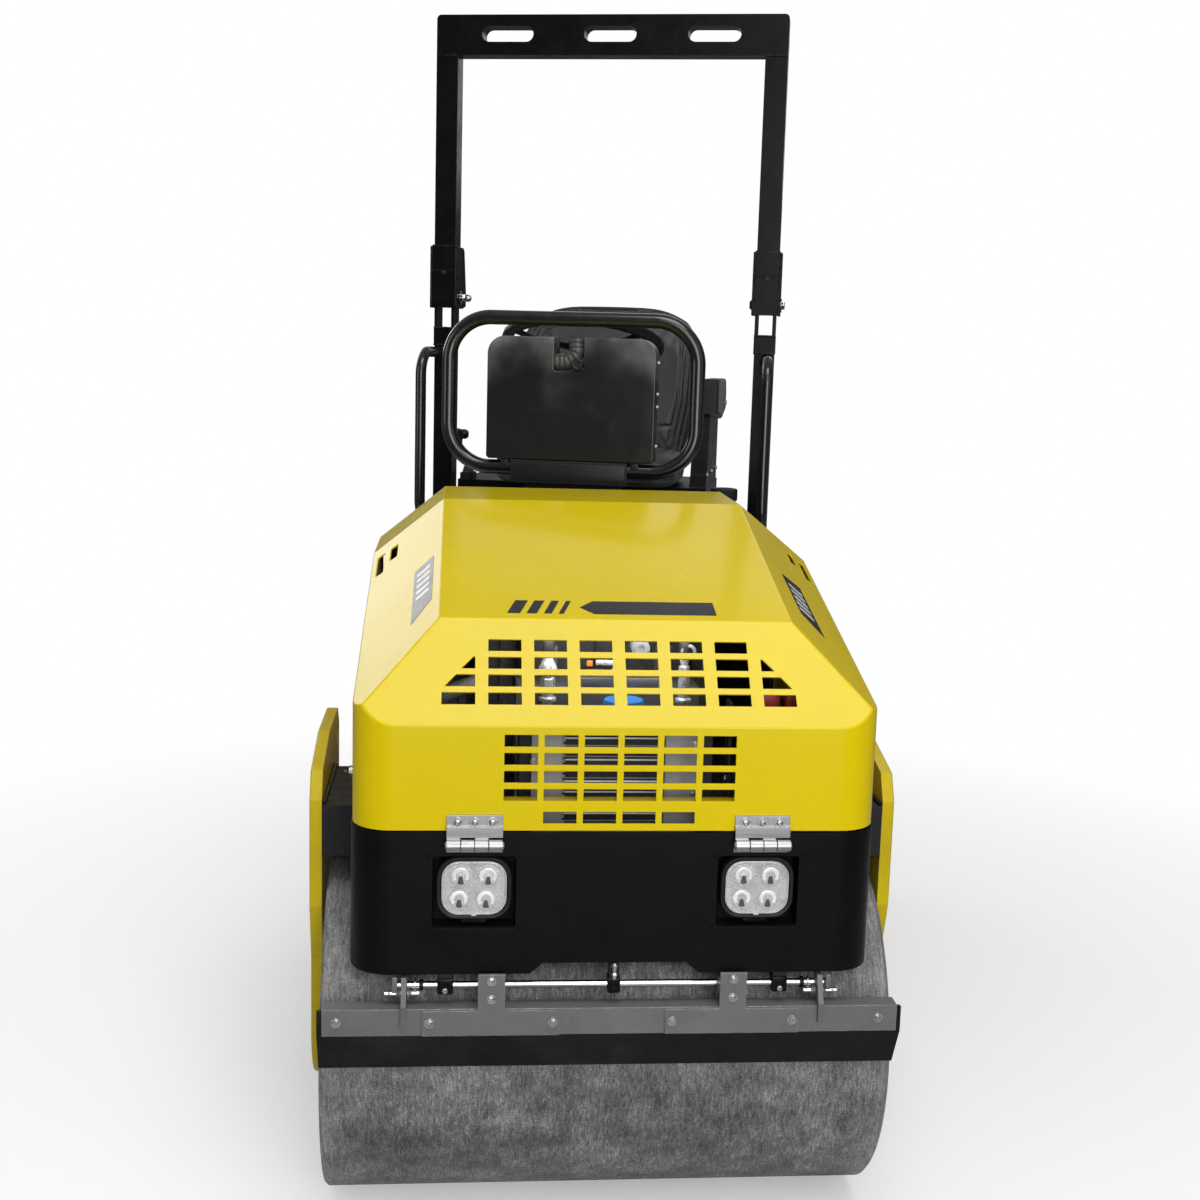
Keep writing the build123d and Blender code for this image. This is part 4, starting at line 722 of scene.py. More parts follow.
FINISH = {
    "hood_shell": m_hood, "front_side_plates": m_plate_shaded_yellow, "rear_side_plates": m_plate_shaded_yellow,
    "tail_panel": m_tail, "nose_panel": m_nose, "front_chassis": m_dark, "rear_chassis": m_dark,
    "front_hitch": m_dark, "rear_hitch": m_dark, "articulation_pin": m_zinc,
    "nose_hinge_leaves": m_hinge, "hood_hinge_leaves": m_hinge, "headlights": m_plastic,
    "engine_block": m_engine, "radiator": m_alu, "battery": m_battery,
    "hydraulic_valve": m_valve, "air_cleaner": m_filter, "engine_bulkhead": m_frame,
    "front_scraper_bar": m_scraper, "front_scraper_rubber": m_rubber,
    "front_scraper_shaft": shaft_f, "front_axle_stubs": m_axle, "front_drum": m_drum_f,
    "rear_drum": m_drum_r, "rear_axle_stubs": m_axle, "platform": m_tread,
    "seat_box": m_frame, "tank_caps": m_plastic, "seat_cushion": m_vinyl,
    "seat_backrest": m_vinyl, "armrest": m_arm, "seat_frame": m_frame,
    "travel_lever": m_plastic, "console": m_console, "console_pedestal": m_lid,
    "hoop_guard": m_tube, "steering_column": m_plastic, "rops_posts": m_frame,
    "grab_rails": m_tube, "water_tank": m_tank, "tail_lamps": m_red,
    "rear_scraper_bar": m_scraper, "rear_scraper_rubber": m_rubber,
    "rear_scraper_shaft": shaft_r, "rops_upper_frame": m_frame, "steering_wheel": m_grip,
    "steering_cylinder_barrel": m_frame, "steering_cylinder_rod": m_rod,
}
for node, ob in NODES.items():
    material = FINISH[node]
    if ob.data.materials:
        for i in range(len(ob.data.materials)):
            ob.data.materials[i] = material
    else:
        ob.data.materials.append(material)

# ---------------------------------------------------------------------------
# camera at the viewing angle, pale floor, soft light
# ---------------------------------------------------------------------------
scene = bpy.context.scene
scene.view_settings.view_transform = "Standard"
scene.view_settings.look = "None"
scene.view_settings.exposure = 0.0
scene.view_settings.gamma = 1.0

yaw, pitch, roll = -0.0922481, 0.1553263, 0.0286096
fw = Vector((-sin(yaw) * cos(pitch), cos(yaw) * cos(pitch), -sin(pitch)))
rt = Vector((cos(yaw), sin(yaw), 0))
up = rt.cross(fw)
r2 = rt * cos(roll) + up * sin(roll)
u2 = -rt * sin(roll) + up * cos(roll)
cam_data = bpy.data.cameras.new("camera")
cam_data.lens, cam_data.sensor_width = 46.5, 36.0
cam_data.clip_start, cam_data.clip_end = 0.05, 200.0
cam = bpy.data.objects.new("camera", cam_data)
scene.collection.objects.link(cam)
cm = Matrix((r2, u2, -fw)).transposed().to_4x4()
cm.translation = FRONT @ Vector((-245.314, -2567.304, 1410.55))
cam.matrix_world = cm
scene.camera = cam

floor_bm = bmesh.new()
ring_n = 96
rings = [0.0, 3.0, 8.0, 20.0, 60.0]
centre = floor_bm.verts.new((0, 0, 0))
last = None
for rr in rings[1:]:
    row = [floor_bm.verts.new((rr * cos(2 * pi * i / ring_n), rr * sin(2 * pi * i / ring_n), 0))
           for i in range(ring_n)]
    for i in range(ring_n):
        j = (i + 1) % ring_n
        if last is None:
            floor_bm.faces.new((centre, row[i], row[j]))
        else:
            floor_bm.faces.new((last[i], row[i], row[j], last[j]))
    last = row
floor_me = bpy.data.meshes.new("floor")
floor_bm.to_mesh(floor_me)
floor_bm.free()
nf = Nodes("floor_pale")
# the sweep fades into the pale studio a few metres out
far = nf.nt.nodes.new("ShaderNodeVectorMath")
far.operation = "LENGTH"
nf.link(nf.coord, far.inputs[0])
away = nf.span(far.outputs["Value"], 0.0, 1.0, 0.7, 2.6)
nf.link(nf.scaled((0.84, 0.84, 0.84), nf.math("MULTIPLY", nf.span(nf.noise(0.6), 0.99, 1.01),
                                              nf.math("SUBTRACT", 1.0, away))),
        nf.b.inputs["Base Color"])
nf.b.inputs["Roughness"].default_value = 0.9
nf.b.inputs["Specular IOR Level"].default_value = 0.0
nf.b.inputs["Emission Color"].default_value = (1, 1, 1, 1)
seen = nf.nt.nodes.new("ShaderNodeLightPath")
nf.link(nf.math("MULTIPLY", nf.span(away, 0.24, 1.0, 0.0, 1.0),
                nf.span(seen.outputs["Is Camera Ray"], 0.12, 1.0, 0.0, 1.0)),
        nf.b.inputs["Emission Strength"])
floor_me.materials.append(nf.mat)
floor = bpy.data.objects.new("floor", floor_me)
scene.collection.objects.link(floor)
floor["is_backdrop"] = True

world = bpy.data.worlds.new("studio")
scene.world = world
world.use_nodes = True
wt = world.node_tree
wt.nodes.clear()
w_out = wt.nodes.new("ShaderNodeOutputWorld")
w_mix = wt.nodes.new("ShaderNodeMixShader")
w_seen = wt.nodes.new("ShaderNodeBackground")
w_seen.inputs["Color"].default_value = (1, 1, 1, 1)
w_seen.inputs["Strength"].default_value = 1.0
w_lit = wt.nodes.new("ShaderNodeBackground")
w_coord = wt.nodes.new("ShaderNodeTexCoord")
w_sep = wt.nodes.new("ShaderNodeSeparateXYZ")
wt.links.new(w_coord.outputs["Generated"], w_sep.inputs[0])


def w_range(socket, a, b, lo, hi):
    n = wt.nodes.new("ShaderNodeMapRange")
    wt.links.new(socket, n.inputs[0])
    for k, v in ((1, a), (2, b), (3, lo), (4, hi)):
        n.inputs[k].default_value = v
    return n.outputs[0]


def w_math(op, a, b):
    n = wt.nodes.new("ShaderNodeMath")
    n.operation = op
    wt.links.new(a, n.inputs[0])
    wt.links.new(b, n.inputs[1])
    return n.outputs[0]


# brighter to the left, above and behind; dim low down in front and to the right
w_side = w_range(w_sep.outputs[0], -0.9, 0.9, 0.95, 0.60)
w_high = w_range(w_sep.outputs[2], 0.05, 0.75, 0.10, 0.62)
w_back = w_range(w_sep.outputs[1], -0.6, 0.9, 0.65, 1.15)
wt.links.new(w_math("MULTIPLY", w_math("MULTIPLY", w_side, w_high), w_back),
             w_lit.inputs["Strength"])
w_path = wt.nodes.new("ShaderNodeLightPath")
wt.links.new(w_path.outputs["Is Camera Ray"], w_mix.inputs[0])
wt.links.new(w_lit.outputs[0], w_mix.inputs[1])
wt.links.new(w_seen.outputs[0], w_mix.inputs[2])
wt.links.new(w_mix.outputs[0], w_out.inputs[0])


def area(name, pos, target, size, power, size_y=None):
    d = bpy.data.lights.new(name, "AREA")
    d.energy, d.size = power, size
    if size_y:
        d.shape, d.size_y = "RECTANGLE", size_y
    o = bpy.data.objects.new(name, d)
    o.location = pos
    o.rotation_mode = "QUATERNION"
    o.rotation_quaternion = (Vector(target) - Vector(pos)).to_track_quat("-Z", "Y")
    scene.collection.objects.link(o)
    return o


area("key", (0.2, -4.6, 3.4), (0, -0.6, 0.9), 2.6, 44)
area("front", (0.2, -5.0, 1.3), (0, -0.6, 0.8), 2.6, 84)
area("overhead", (0.26, -2.3, 4.7), (0, -0.6, 0.9), 2.4, 72, 1.9)
area("left_back", (-2.5, 3.3, 2.5), (-0.2, -0.3, 1.0), 2.0, 26, 1.6)
area("left_panel", (-4.4, -1.4, 2.0), (0, -0.3, 0.9), 2.2, 24, 2.2)
area("fill", (3.6, -3.4, 2.6), (0, 0, 0.8), 3.0, 16)
area("behind", (1.2, 4.6, 3.6), (0, 0.4, 1.0), 3.0, 20)
inner = area("under_hood", FRONT @ Vector((0, -130, 978)), FRONT @ Vector((0, -60, 860)), 0.30, 0.7, 0.08)
inner.visible_camera = False

# ---------------------------------------------------------------------------
# front frame details
# ---------------------------------------------------------------------------
LAMP_X, LAMP_Z = 215.5, 617.0
FACE = rot(90, "X")          # x right, y up, z towards the front

lamps = Piece("headlight_units", FRONT, [m_plastic, m_lampglass, m_cup_painted_highlight, m_cup_painted_dark, m_zinc, m_nose])
for side in (-1, 1):
    M = T(side * LAMP_X, -329, LAMP_Z) @ FACE
    # bezel with a rolled lip
    lamps.add(b_loops([at_z(rrect(111, 95, 31), -20), at_z(rrect(113, 97, 32), -18),
                       at_z(rrect(113, 97, 32), -4), at_z(rrect(112, 96, 31.5), -1.2),
                       at_z(rrect(109, 93, 30), 0), at_z(rrect(104, 88, 28.5), -0.2),
                       at_z(rrect(100, 85, 27.5), -1.6), at_z(rrect(98, 83, 27), -8),
                       at_z(rrect(94, 80, 26), -9), at_z(rrect(94, 80, 26), -20)], ring=True),
              M, 0)
    # bright retaining rim
    lamps.add(b_loops([at_z(rrect(98, 83.4, 26), -4.0), at_z(rrect(97.4, 82.8, 25.7), -1.9),
                       at_z(rrect(95.6, 81.0, 24.9), -1.7), at_z(rrect(93.0, 79.0, 23.6), -3.4),
                       at_z(rrect(92.2, 78.2, 23.2), -6.0)], cap0=False, cap1=False), M, 1)
    # four reflector cups let into the lens
    cups = [(-20.4, 18.6), (20.8, 18.0), (-22.4, -18.0), (18.0, -18.6)]
    # diamond relief between the cups
    relief = bmesh.new()
    pitch = 2.9
    nx, ny = 33, 28

    def inside(x, y, m=0.0):
        ax, ay = max(abs(x) - (46.1 - 23.0), 0), max(abs(y) - (39.1 - 23.0), 0)
        if abs(x) > 46.1 - m or abs(y) > 39.1 - m or hypot(ax, ay) > 23.0 - m:
            return False
        return all(hypot(x - cx, y - cy) > 15.1 + m for cx, cy in cups)

    for i in range(-nx, nx):
        for j in range(-ny, ny):
            if (i + j) % 2:
                continue
            x, y = i * pitch / 2, j * pitch / 2
            if not inside(x, y, 1.3):
                continue
            q = [relief.verts.new((x + pitch / 2, y, -4.9)), relief.verts.new((x, y + pitch / 2, -4.9)),
                 relief.verts.new((x - pitch / 2, y, -4.9)), relief.verts.new((x, y - pitch / 2, -4.9))]
            top = relief.verts.new((x, y, -4.0))
            for a in range(4):
                relief.faces.new((q[a], q[(a + 1) % 4], top))
            relief.faces.new(q[::-1])
    lamps.add(relief, M, 1, smooth=False)
    lamps.add(b_loops([at_z(rrect(93, 79, 24), -12), at_z(rrect(93, 79, 24), -5.2),
                       at_z(rrect(91, 77, 23), -4.9)]), M, 1)
    for cx, cy in cups:
        C = M @ T(cx, cy, 0)
        lamps.add(b_lathe([(13.2, -6.0), (15.3, -5.2), (15.4, -3.3), (14.9, -2.6), (14.3, -2.6),
                           (13.8, -3.3), (13.2, -6.0), (9.0, -6.6), (0, -6.6)], 40), C, 1)
        # bright arch over the top and sides of each cup: painted highlight of the reflector
        arch = []
        for i in range(27):
            a = radians(-38 + 256 * i / 26)
            w = (3.6 if 3 < i < 23 else 2.7) - 0.5 * (i % 4 == 0)
            arch.append([((10.4 + w * cos(q)) * cos(a), (10.4 + w * cos(q)) * sin(a), -4.6 + 1.2 * sin(q))
                         for q in [2 * pi * k / 10 for k in range(10)]])
        lamps.add(b_loops(arch), C, 2)
        for rr in (6.9, 4.6):
            lamps.add(b_lathe([(rr - 0.9, -5.6), (rr - 0.5, -4.4), (rr + 0.3, -4.4), (rr + 0.7, -5.6)], 28),
                      C @ T(0, 1.2, 0), 1)
        # dark wedge low in the cup: painted dark reflection
        lamps.add(b_prism([(-2.4, -1.0), (-4.9, -11.8), (-2.6, -12.9), (0, -13.3), (2.6, -12.9),
                           (4.9, -11.8), (2.4, -1.0)], 1.6, 0.4, 1), C @ T(0, 0, -5.4), 3)
    # tab under the rim, rear housing with ribs, foot and clip
    lamps.add(b_box(8, 4, 3, 1), M @ T(0, -41.5, -2.2), 1)
    lamps.add(b_box(78, 68, 16, 6, 3), M @ T(0, 0, -27), 0)
    for k in range(7):
        lamps.add(b_box(64, 3, 8, 0.8), M @ T(0, -24 + 8 * k, -35.5), 0)
    lamps.add(b_box(20, 12, 12, 1.5), M @ T(0, -48, -14), 5)
    lamps.add(b_box(38, 9, 3, 0.8), M @ T(0, -52, -10), 5)
    lamps.add(b_box(38, 5, 30, 1), M @ T(0, -55, -23), 5)
    for sx in (-1, 1):
        lamps.bolt((side * LAMP_X + sx * 12, -331 + 13.4, LAMP_Z - 52), (0, -1, 0), 6, 2.4,
                   washer=False, mat=5)
lamps.done("front_frame", ["headlights"])

screws = Piece("nose_screws", FRONT, [m_nose, m_zinc])
for side in (-1, 1):
    for sx in (-1, 1):
        for sz in (-56, 57):
            screws.button((side * LAMP_X + sx * 68.5, -331, 612 + sz), (0, -1, 0), 3.2, 1.8, mat=0)
screws.done("front_frame")

# hinge leaves: screws, and pin heads at the knuckles
leaf_x = (-216.0, 218.0)
hs = Piece("hood_hinge_screws", FRONT, [m_zinc, m_hinge])
for cx in leaf_x:
    for k in (-26, 0, 26):
        hs.button((cx + k, -335, 722), (0, -1, 0), 5.2, 3.2, washer=8.2, mat=0)
hs.done("hood")
pins = Piece("hinge_pin_heads", FRONT, [m_hinge, m_plastic])
for cx in leaf_x:
    for s in (-1, 1):
        pins.add(b_lathe([(0, 0), (5.6, 0), (5.8, 0.6), (5.2, 1.8), (3, 2.4), (0, 2.6)], 20),
                 toward((cx + s * 41.9, -344, 689), (s, 0, 0)), 0)
    # dark rings at the gaps between the knuckles: painted shade of the slits
    for dx in (-20.5, 0.0, 20.5):
        pins.add(b_lathe([(8.6, -0.6), (9.25, -0.6), (9.25, 0.6), (8.6, 0.6), (8.6, -0.6)], 32),
                 toward((cx + dx, -344, 689), (1, 0, 0)), 1)
pins.done("front_frame")


def scraper_details(name, place, y, way, body):
    """bolts of the bar and T plates, shaft collars, adjusting nuts; y is the axle"""
    p = Piece(name, place, [m_zinc, m_frame, m_scraper])
    out = (0, way, 0)

    def yy(v):
        return y + way * v

    for cx in (-187, 182):
        for z in (478, 449):
            p.bolt((cx, yy(347), z), out, 8.4, 3.6, turn=17 * (cx > 0))
        for dx in (-93, 93):
            p.bolt((cx + dx, yy(347), 412), out, 8.8, 3.8, turn=11 + dx)
    for cx in (-420, 411):
        p.bolt((cx, yy(342), 412), out, 8.8, 4.0, turn=cx / 30)
    # clamps on the shaft under the frame's arms
    for cx, w in ((-257, 24), (0, 20), (257, 24)):
        p.add(b_box(w, 25, 25, 3, 2), T(cx, yy(318), 462), 1)
        p.bolt((cx, yy(330.5), 456), out, 8, 3, washer=False, mat=0 if cx else 1)
    # stud with two nuts above the middle clamp
    p.add(b_lathe([(0, 0), (3.4, 0), (3.4, 24), (2.6, 25), (0, 25)], 14), T(0, yy(331), 474), 0)
    p.add(b_loops([hexagon(9, 0), hexagon(9, 5), hexagon(9, 6, 0.88)]), T(0, yy(331), 478), 0)
    p.add(b_lathe([(0, 0), (3.5, 0), (5.2, 3), (5.2, 6), (3, 9), (0, 9)], 16), T(0, yy(331), 490), 0)
    for s in (-1, 1):
        # nuts either side of the end plates, and the end washers of the shaft
        for x0, ax in ((313.6, -1), (324.4, 1)):
            p.bolt((s * x0, yy(324), 450), (s * ax, 0, 0), 9, 5, mat=2)
        p.bolt((s * 339.5, yy(324), 450), (s, 0, 0), 8, 4, washer=False)
        p.add(b_lathe([(5.6, 0), (9, 0), (9, 2.4), (5.6, 2.4)], 24),
              toward((s * 301, yy(320), 462), (s, 0, 0)), 0)
        p.add(b_lathe([(5.6, 0), (8.6, 0), (8.6, 6), (5.6, 6)], 24),
              toward((s * 290, yy(320), 462), (s, 0, 0)), 1)
        # slotted tab at the shaft's end
        p.add(b_box(8, 5, 24, 1.2), T(s * 333, yy(329), 466), 2)
    p.done(body)


scraper_details("front_scraper_bolts", FRONT, 0, -1, "front_frame")
scraper_details("rear_scraper_bolts", REAR, 725, 1, "rear_frame")


def plate_bolts(name, place, y, way, body):
    """screws through the side plates into the hub and the cross beam"""
    p = Piece(name, place, [m_zinc, m_axle])
    for s in (-1, 1):
        # inside heads of the hub's ring
        for k in range(8):
            a = 2 * pi * k / 8 + 0.2
            p.bolt((s * 457, y + 74 * cos(a), 295 + 74 * sin(a)), (-s, 0, 0), 13, 6)
        for dy in (-90, 60):
            for z in (628, 668):
                p.add(b_lathe([(0, 0), (8, 0), (8, 0.4), (7, 0.6), (5, 0.6), (4.6, 0.2), (0, 0.2)], 20),
                      toward((s * 477.4, y - way * dy, z), (s, 0, 0)), 0)
    p.done(body)


plate_bolts("front_plate_bolts", FRONT, 0, -1, "front_frame")
plate_bolts("rear_plate_bolts", REAR, 725, 1, "rear_frame")

beam = Piece("cross_beam_bolts", FRONT, [m_zinc, m_frame])
for s in (-1, 1):
    beam.bolt((s * 425, 62, 690), (0, 0, 1), 15, 8, mat=0)
    # weld beads along the beam's ends
    beam.add(b_tube([(s * 455, -138, 693), (s * 455, -60, 694), (s * 455, 20, 693), (s * 455, 96, 694)],
                    4, 8), None, 1)
beam.done("front_frame")

# cooler behind the lower grille: flat tubes, folded fins, side brackets
cooler = Piece("cooler_core", FRONT, [m_alu, m_fins, m_bracket, m_zinc])
cooler.add(b_box(300, 44, 258, 3), T(0, -240, 748), 1)
for k in range(15):
    cooler.add(b_box(166, 5, 2.6, 0.8), T(-4, -263, 630 + 17 * k), 0)
    cooler.add(b_box(166, 4, 1.2, 0.3), T(-4, -263, 635.2 + 17 * k), 2)
for k in range(14):
    zig = [Vector((-84 + i * 4.0, -262, 634 + 17 * k + (1.5 if i % 2 else 11.5))) for i in range(41)]
    bm = bmesh.new()
    a = [bm.verts.new(p) for p in zig]
    b = [bm.verts.new((p.x, p.y + 12, p.z)) for p in zig]
    for i in range(len(a) - 1):
        bm.faces.new((a[i], a[i + 1], b[i + 1], b[i]))
    bmesh.ops.solidify(bm, geom=list(bm.faces), thickness=0.35)
    cooler.add(bm, None, 1, smooth=False)
# side channels; the left one with a toothed edge
cooler.add(b_box(48, 5, 268, 1.2), T(-107, -271, 752), 2)
cooler.add(b_box(50, 5, 268, 1.2), T(99, -271, 752), 2)
for k in range(33):
    cooler.add(b_box(5, 4, 4.4, 0.6), T(-81.5, -271, 624 + 8.0 * k), 2)
for x, z in ((120, 828), (119, 750), (120, 690), (-128, 800), (-128, 705)):
    cooler.button((x, -273.4, z), (0, -1, 0), 3, 2, washer=4.6, mat=3)
cooler.button((173, -262, 772), (0, -1, 0), 3, 2, washer=4.6, mat=3)
for s in (-1, 1):
    cooler.add(b_box(5, 34, 276, 1.2), T(s * 174, -258, 755), 1)
cooler.done("front_frame", ["radiator"])

# fittings, hoses and small parts behind the upper grille
fit = Piece("hydraulic_fittings", FRONT, [m_fitting, m_hose, m_blue, m_valve, m_orange, m_greyhose,
                                          m_battery])
for x, cone, hexa, flange in ((-100, 15, 21, 14), (121, 7.5, 16, 14)):
    y = -124
    fit.add(b_lathe([(9, 0), (flange, 1), (flange, 6), (9, 8), (9, 60), (0, 60)], 32), T(x, y, 860), 0)
    fit.add(b_loops([hexagon(hexa, 0), hexagon(hexa, 15), hexagon(hexa, 17, 0.86)]), T(x, y, 882), 0)
    fit.add(b_lathe([(8, 0), (cone * 0.8, 1.5), (cone, 6), (cone, 12), (cone * 0.75, 20), (8, 27),
                     (8, 40), (0, 40)], 32), T(x, y, 903), 0)
    # elbow into the block and the hose up and back
    fit.add(b_tube(rounded_path([(x, y, 862), (x, y, 838), (x, -104, 838)], 10), 9, 16), None, 0)
    s = 1 if x > 0 else -1
    fit.add(b_tube(rounded_path([(x, y, 936), (x, y, 968), (x + s * 12, -40, 985), (x + s * 30, 70, 950),
                                 (x + s * 40, 98, 830)], 30), 10, 14), None, 1)
# ring on the right fitting
fit.add(b_tube([(126 + 10 * cos(a), -130, 944 + 10 * sin(a)) for a in
                [2 * pi * i / 28 for i in range(28)]], 3.2, 10, closed=True), None, 5)
# round port, plate, orange tag and knob
fit.add(b_lathe([(0, 0), (6, 0), (6, 3), (10, 3), (10, 0), (14, 0), (15, -2), (15, -30), (0, -30)], 32),
        toward((52, -104, 944), (0, -1, 0)), 5)
fit.add(b_box(44, 6, 8, 1.2), T(0, -112, 922), 0)
fit.add(b_box(9, 7, 9, 1.2), T(-32, -112, 920), 4)
fit.add(b_lathe([(0, 0), (5, 0), (9, 4), (9, 9), (5, 13), (0, 13)], 24),
        toward((10, -112, 906), (0, -1, 0)), 5)
fit.add(b_box(150, 10, 18, 2), T(8, -100, 886), 3)
# blue cap on the filter before the block
fit.add(b_lathe([(0, 0), (33, 0), (33, 44), (31, 48), (0, 48)], 40), T(22, -142, 820), 2)
fit.add(b_lathe([(0, 0), (30, 0), (30, 110), (0, 110)], 40), T(22, -142, 710), 1)
# grey hose at the left, red cover at the right
fit.add(b_tube(rounded_path([(-330, -150, 700), (-322, -150, 830), (-270, -140, 872), (-205, -60, 880)],
                            40), 13, 16), None, 5)
fit.add(b_box(30, 44, 22, 4, 2), T(241, -222, 888), 6)
fit.add(b_box(46, 44, 22, 4, 2), T(288, -222, 888), 6)
fit.add(b_box(100, 24, 60, 3, 2), T(266, -215, 850), 1)
for k in range(5):
    fit.bolt((-64 + 30 * k, -104.8, 760 + 14 * (k % 2)), (0, -1, 0), 12, 6)
fit.done("front_frame")

# stiffening ledge inside the hood's front, between the grille's rows
ledge = Piece("hood_inner_ledge", FRONT, [m_hood])
ledge.add(b_box(366, 25, 2.4, 0.5), T(0, -314.8, 751.6), 0)
ledge.add(b_box(366, 2.4, 9, 0.5), T(0, -303.4, 747.5), 0)
ledge.done("hood")

air = Piece("air_cleaner_ribs", FRONT, [m_filter, m_hose, m_zinc])
for k in range(7):
    air.add(b_lathe([(61, 0), (64.5, 0.6), (64.5, 3.4), (61, 4)], 40),
            toward((-376 + 22 * k, 150, 780), (1, 0, 0)), 0)
air.add(b_lathe([(0, 0), (34, 0), (38, 4), (38, 7), (0, 7)], 32), toward((-380, 150, 780), (-1, 0, 0)), 0)
air.add(b_tube(rounded_path([(-232, 150, 800), (-205, 150, 830), (-150, 190, 900), (-110, 240, 975)], 40),
               24, 18), None, 1)
air.done("front_frame")

eng = Piece("engine_details", FRONT, [m_engine, m_zinc, m_hose, m_filter])
for k in range(4):
    eng.add(b_box(340, 62, 26, 8, 3), T(0, 145 + 78 * k, 984), 0)
    for s in (-1, 1):
        eng.bolt((s * 150, 145 + 78 * k, 997), (0, 0, 1), 13, 6, mat=1)
for k in range(9):
    eng.add(b_box(6, 8, 300, 2), T(-170 + 42 * k, 102, 790), 0)
eng.add(b_lathe([(0, 0), (70, 0), (74, 4), (74, 16), (68, 20), (30, 22), (30, 30), (0, 30)], 40),
        toward((0, 103, 800), (0, -1, 0)), 3)
eng.done("front_frame")

bat = Piece("battery_top", FRONT, [m_battery, m_zinc, m_filter])
bat.add(b_box(126, 96, 16, 4, 2), T(290, -215, 812), 0)
for s in (-1, 1):
    bat.add(b_lathe([(0, 0), (10, 0), (9, 14), (0, 15)], 20), T(290 + s * 42, -240, 820), 1)
    bat.add(b_box(26, 26, 16, 4, 2), T(290 + s * 42, -240, 832), 0 if s > 0 else 2)
bat.add(b_box(140, 14, 4, 1), T(290, -215, 822), 1)
bat.done("front_frame")

# ---------------------------------------------------------------------------
# hood: plain film shapes on the bevels and top, and a sealing strip
# ---------------------------------------------------------------------------
film = Piece("hood_film", FRONT, [m_decal, m_stripe])
A = Vector((0, 495, 136)).normalized()


def bevel_film(side, pts, mat, lift):
    D = Vector((side * 127.0, 0, -104.0)).normalized()
    W = (D - A * D.dot(A)).normalized()
    nrm = A.cross(W)
    if nrm.z < 0:
        nrm = -nrm
    O = Vector((side * 274.0, 278.0, 1147.0))
    P = [O + A * u + W * w for u, w in pts]
    if (P[1] - P[0]).cross(P[2] - P[0]).dot(nrm) < 0:
        P = P[::-1]
    film.add(b_loops([[p + nrm * 0.05 for p in P], [p + nrm * lift for p in P]]), None, mat)


bevel_film(-1, [(-262, 57), (-244, 17), (-422, 17), (-470, 57)], 0, 0.45)
bevel_film(1, [(-262, 42), (-263, 86), (-455, 90), (-418, 46)], 0, 0.45)
for k in range(5):
    u = -288 - 24 * k
    bevel_film(-1, [(u + 6, 50), (u + 16, 24), (u + 4, 24), (u - 6, 50)], 1, 0.75)
    u = -292 - 24 * k
    bevel_film(1, [(u + 2, 50), (u - 6, 80), (u - 18, 80), (u - 10, 50)], 1, 0.75)


def top_film(pts, mat, lift):
    O = Vector((0, -217.0, 1011.0))
    nrm = Vector((1, 0, 0)).cross(A)
    P = [O + Vector((x, 0, 0)) + A * v for x, v in pts]
    if (P[1] - P[0]).cross(P[2] - P[0]).dot(nrm) < 0:
        P = P[::-1]
    film.add(b_loops([[p + nrm * 0.05 for p in P], [p + nrm * lift for p in P]]), None, mat)


for x, w in ((-170, 20), (-140, 16), (-113, 12), (-90, 8)):
    top_film([(x, 18), (x + w, 18), (x + w + 14, 66), (x + 14, 66)], 0, 0.45)
top_film([(-56, 42), (-34, 18), (158, 18), (158, 66), (-34, 66)], 0, 0.45)
film.done("hood")

# rubber seal along the rear opening
seal = Piece("hood_rear_seal", FRONT, [m_hose])
seal.add(b_tube(rounded_path([(-396, 495, 712), (-396, 495, 1040), (-272, 495, 1146), (272, 495, 1146),
                              (396, 495, 1040), (396, 495, 712)], 10), 2.4, 8), None, 0)
seal.done("hood")

# ---------------------------------------------------------------------------
# operator's station
# ---------------------------------------------------------------------------
# console box: rounded sheet case with its notch, a seam, and screws down the sides
con = Piece("console_case", REAR, [m_console, m_zinc, m_plastic])
half, zb, zt, rc = 175.0, 1197.0, 1449.0, 36.0
nl, nr, nz = -36.0, 26.0, 1380.0
outline = []
for cx, a0 in ((half - rc, 0), (-(half - rc), 90)):
    arc = [(cx + rc * cos(radians(a0 + 90 * i / 10)), zt - rc + rc * sin(radians(a0 + 90 * i / 10)))
           for i in range(11)]
    outline += arc
    if a0 == 0:
        outline += [(nr, zt), (nr, nz + 4), (nr - 4, nz), (nl + 4, nz), (nl, nz + 4), (nl, zt)]
outline += [(-half, zb + 5), (-half + 5, zb), (half - 5, zb), (half, zb + 5)]
con.add(b_prism(outline, 66, 3.0, 4), T(0, -32, 0) @ FACE, 0)
# rear cover, a little larger, makes the shadow line
cover = [(x * 0.992, zb + (z - zb) * 0.994 + 1) for x, z in outline]
con.add(b_prism(cover, 5, 1.2, 2), T(0, -28, 0) @ FACE, 2)
for z in (1231, 1312, 1338, 1402):
    con.button((175, -58, z), (1, 0, 0), 3.6, 2.4, washer=5, mat=1)
    con.button((-175, -58, z), (-1, 0, 0), 3.6, 2.4, washer=5, mat=1)
con.done("rear_frame", ["console"])

